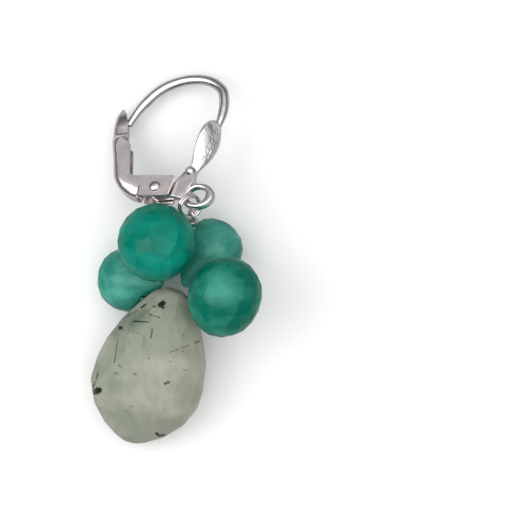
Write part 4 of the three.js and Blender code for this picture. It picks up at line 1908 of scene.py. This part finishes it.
@dataclass
class BigDrop:
    """The large pale drop with soft facets, its belly flat on the surface."""

    layout: Layout
    size: Triple = (13.5, 10.0, 19.8)
    tip: Pair = (-0.05, -3.7)
    lean: float = 17.0
    rest_cut: float = 0.22
    neck_half: float = 1.25
    neck_over_bead: float = 0.86
    belly: float = 0.62
    sides: int = 14
    rows: tuple[Pair, ...] = (
        (0, 0.16), (0.035, 0.34), (0.13, 0.53), (0.26, 0.745), (0.4, 0.905), (0.55, 0.995),
        (0.68, 0.985), (0.8, 0.84), (0.9, 0.6), (0.97, 0.33), (1, 0.16),
    )
    soft_edge: float = 0.55
    # Middle of the painted glow, a lighter area that stands in for light let through the drop and lightens
    # its shaded side, given from its tip, and its reach.
    glow_patch: Triple = (-0.2, -10.4, 5.0)
    glow_patch_size: float = 13.5
    mottle_stretch: Triple = (1.3, 0.8, 1.0)
    mottle_grain: float = 0.8
    mottle_strength: float = 0.26
    mottle_tint: Colour = (0.2, 0.24, 0.17, 1)

    def build(self, shared: Shared, finish: StoneFinish, below: Briolette, bore: Skin) -> None:
        """Makes, drills and dresses the drop.

        Args:
            shared: The shared node groups.
            finish: The finish of its stone.
            below: The bead that holds its neck up.
            bore: Skin of the bore.
        """
        neck = below.middle.z + self.neck_over_bead * below.width / 2 + self.neck_half
        rest = self.size[1] / 2 - self.rest_cut
        rise = math.asin((neck - rest) / (self.belly * self.size[2]))
        lean = math.radians(self.lean)
        way = Vector((-math.sin(lean) * math.cos(rise), -math.cos(lean) * math.cos(rise), -math.sin(rise)))
        sketch = facet_hull(self.rows, self.size, self.sides, aim_matrix(way, Vector((1, 0, 0))))
        low = min(vert.co.z for vert in sketch.verts)
        spot = self.layout.drawn((*self.tip, 0))
        bmesh.ops.translate(sketch, verts=sketch.verts, vec=(spot.x, spot.y, -low - self.rest_cut))
        geometry = sketch.verts[:] + sketch.edges[:] + sketch.faces[:]
        cut = bmesh.ops.bisect_plane(
            sketch,
            geom=geometry,
            plane_co=(0, 0, 0),
            plane_no=(0, 0, -1),
            clear_outer=True,
        )
        rim = [item for item in cut["geom_cut"] if isinstance(item, bmesh.types.BMEdge)]
        bmesh.ops.contextual_create(sketch, geom=rim)
        bmesh.ops.bevel(
            sketch,
            geom=sketch.edges[:],
            offset=self.soft_edge,
            offset_type="OFFSET",
            segments=4,
            profile=0.5,
            affect="EDGES",
            clamp_overlap=True,
        )
        tree = BVHTree.FromBMesh(sketch)
        mesh = stone_mesh(sketch, "pale_drop")
        material = self.dress(shared, finish, tree, spot)
        drop = finish_piece(mesh, "pale_drop", material, Shading.SHEET, Body.EARRING, Slot.PALE)
        drill(drop, bore)
        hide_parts("teardrop")

    def dress(
        self,
        shared: Shared,
        finish: StoneFinish,
        tree: BVHTree,
        spot: Vector,
    ) -> bpy.types.Material:
        """Builds the drop's material with its inclusions.

        Args:
            shared: The shared node groups.
            finish: The finish of its stone.
            tree: The drop's faces, which give the height of each inclusion.
            spot: Place of the drop's tip.

        Returns:
            The material.
        """
        # Middle of the drop's painted glow.
        middle = spot + Vector(self.glow_patch)
        material, graph, shader, colour = finish.start(shared, "drop", middle, self.glow_patch_size)
        place = graph.place()
        masks: dict[Inside, object] = {kind: 0.0 for kind in Inside}
        for mark in INCLUSIONS:
            node = graph.use(
                shared.streak,
                Place=place,
                Start=self.on_top(tree, mark.start),
                End=self.on_top(tree, mark.end),
                Width=mark.width,
                Softness=INSIDE_LOOKS[mark.kind].softness,
                Strength=mark.strength,
                Mask=masks[mark.kind],
            )
            masks[mark.kind] = node.outputs["Mask"]
        stretched = graph.vector("MULTIPLY", place, self.mottle_stretch)
        mottle = graph.noise(stretched, self.mottle_grain, detail=5.0)
        mottle = graph.step(mottle, low=0.4, high=0.72, start=0.0, end=self.mottle_strength)
        colour = graph.mix(mottle, colour, self.mottle_tint)
        for kind, look in INSIDE_LOOKS.items():
            colour = graph.mix(masks[kind], colour, look.tint)
        graph.feed(shader.inputs["Base Color"], colour)
        return material

    def on_top(self, tree: BVHTree, place: Pair) -> Vector:
        """Finds the point of the drop's upper face at a place.

        Args:
            tree: The drop's faces.
            place: The place, as seen from above.

        Returns:
            The point, at mid height where the drop has no face.
        """
        above = 50.0
        hit = tree.ray_cast(Vector((*place, above)), Vector((0, 0, -1)))[0]
        return hit if hit else Vector((*place, self.size[1] / 2))


def briolettes() -> list[Briolette]:
    """Lists the four green beads in the order in which the part names them.

    Returns:
        The beads.
    """
    # Each bead's patch places its painted glow, a lighter area that stands in for light let through it.
    return [
        Briolette(
            node="green_briolette_1",
            name="dark_briolette",
            place=(-1.98, 1.84),
            width=9.3,
            depth=9.4,
            tip=(0.38, -0.32, -0.87),
            finish=DARK_GREEN,
            glow_patch=(1.6, -1.2, 3.9),
            glow_patch_size=3.6,
        ),
        Briolette(
            node="green_briolette_2",
            name="light_briolette",
            place=(4.25, 1.2),
            width=7.5,
            depth=7.5,
            tip=(-0.56, -0.74, 0.37),
            finish=LIGHT_GREEN,
            glow_patch=(0.8, 0.2, 2.6),
            glow_patch_size=3.6,
            length_ratio=1.27,
            widest=0.38,
        ),
        Briolette(
            node="green_briolette_3",
            name="banded_briolette",
            place=(5.76, -4.4),
            width=8.75,
            depth=9.65,
            tip=(-0.62, 0.25, -0.74),
            finish=BANDED_GREEN,
            glow_patch=(-0.3, 0.9, 4.0),
            glow_patch_size=3.2,
        ),
        Briolette(
            node="green_briolette_4",
            name="pale_green_briolette",
            place=(-5.56, -2.45),
            width=7.76,
            depth=7.76,
            tip=(0.8, -0.06, 0.58),
            finish=LIGHT_GREEN,
            glow_patch=(-0.6, -0.4, 2.6),
            glow_patch_size=3.6,
        ),
    ]


def main() -> None:
    """Builds the studio and the earring in order, and reports each piece."""
    logging.basicConfig(level=logging.INFO, format="%(name)s: %(message)s")
    studio = Studio()
    studio.build_camera()
    studio.build_floor()
    studio.build_light()
    layout = Layout.from_hinge(frame["joints"][0], DRAWN_PIVOT)
    shared = Shared.build()
    silver = SILVER.material(shared)
    sheet = SHEET_SILVER.material(shared)
    pebbled = PEBBLED_SILVER.material(shared)
    EarHook(layout).build(silver, pebbled, sheet)
    LOG.info("ear hook made")
    Lever(layout).build(sheet)
    Rivet(layout).build(silver)
    LOG.info("lever and rivet made")
    hanging = Hanging(layout)
    hanging.build(silver)
    LOG.info("jump ring, wire and crimp made")
    bore = hanging.bore_skin()
    beads = briolettes()
    for bead in beads:
        bead.build(layout, shared, bore)
        LOG.info("%s made", bead.name)
    BigDrop(layout).build(shared, PALE_STONE, beads[3], bore)
    LOG.info("pale drop made")


if __name__ == "__main__":
    main()
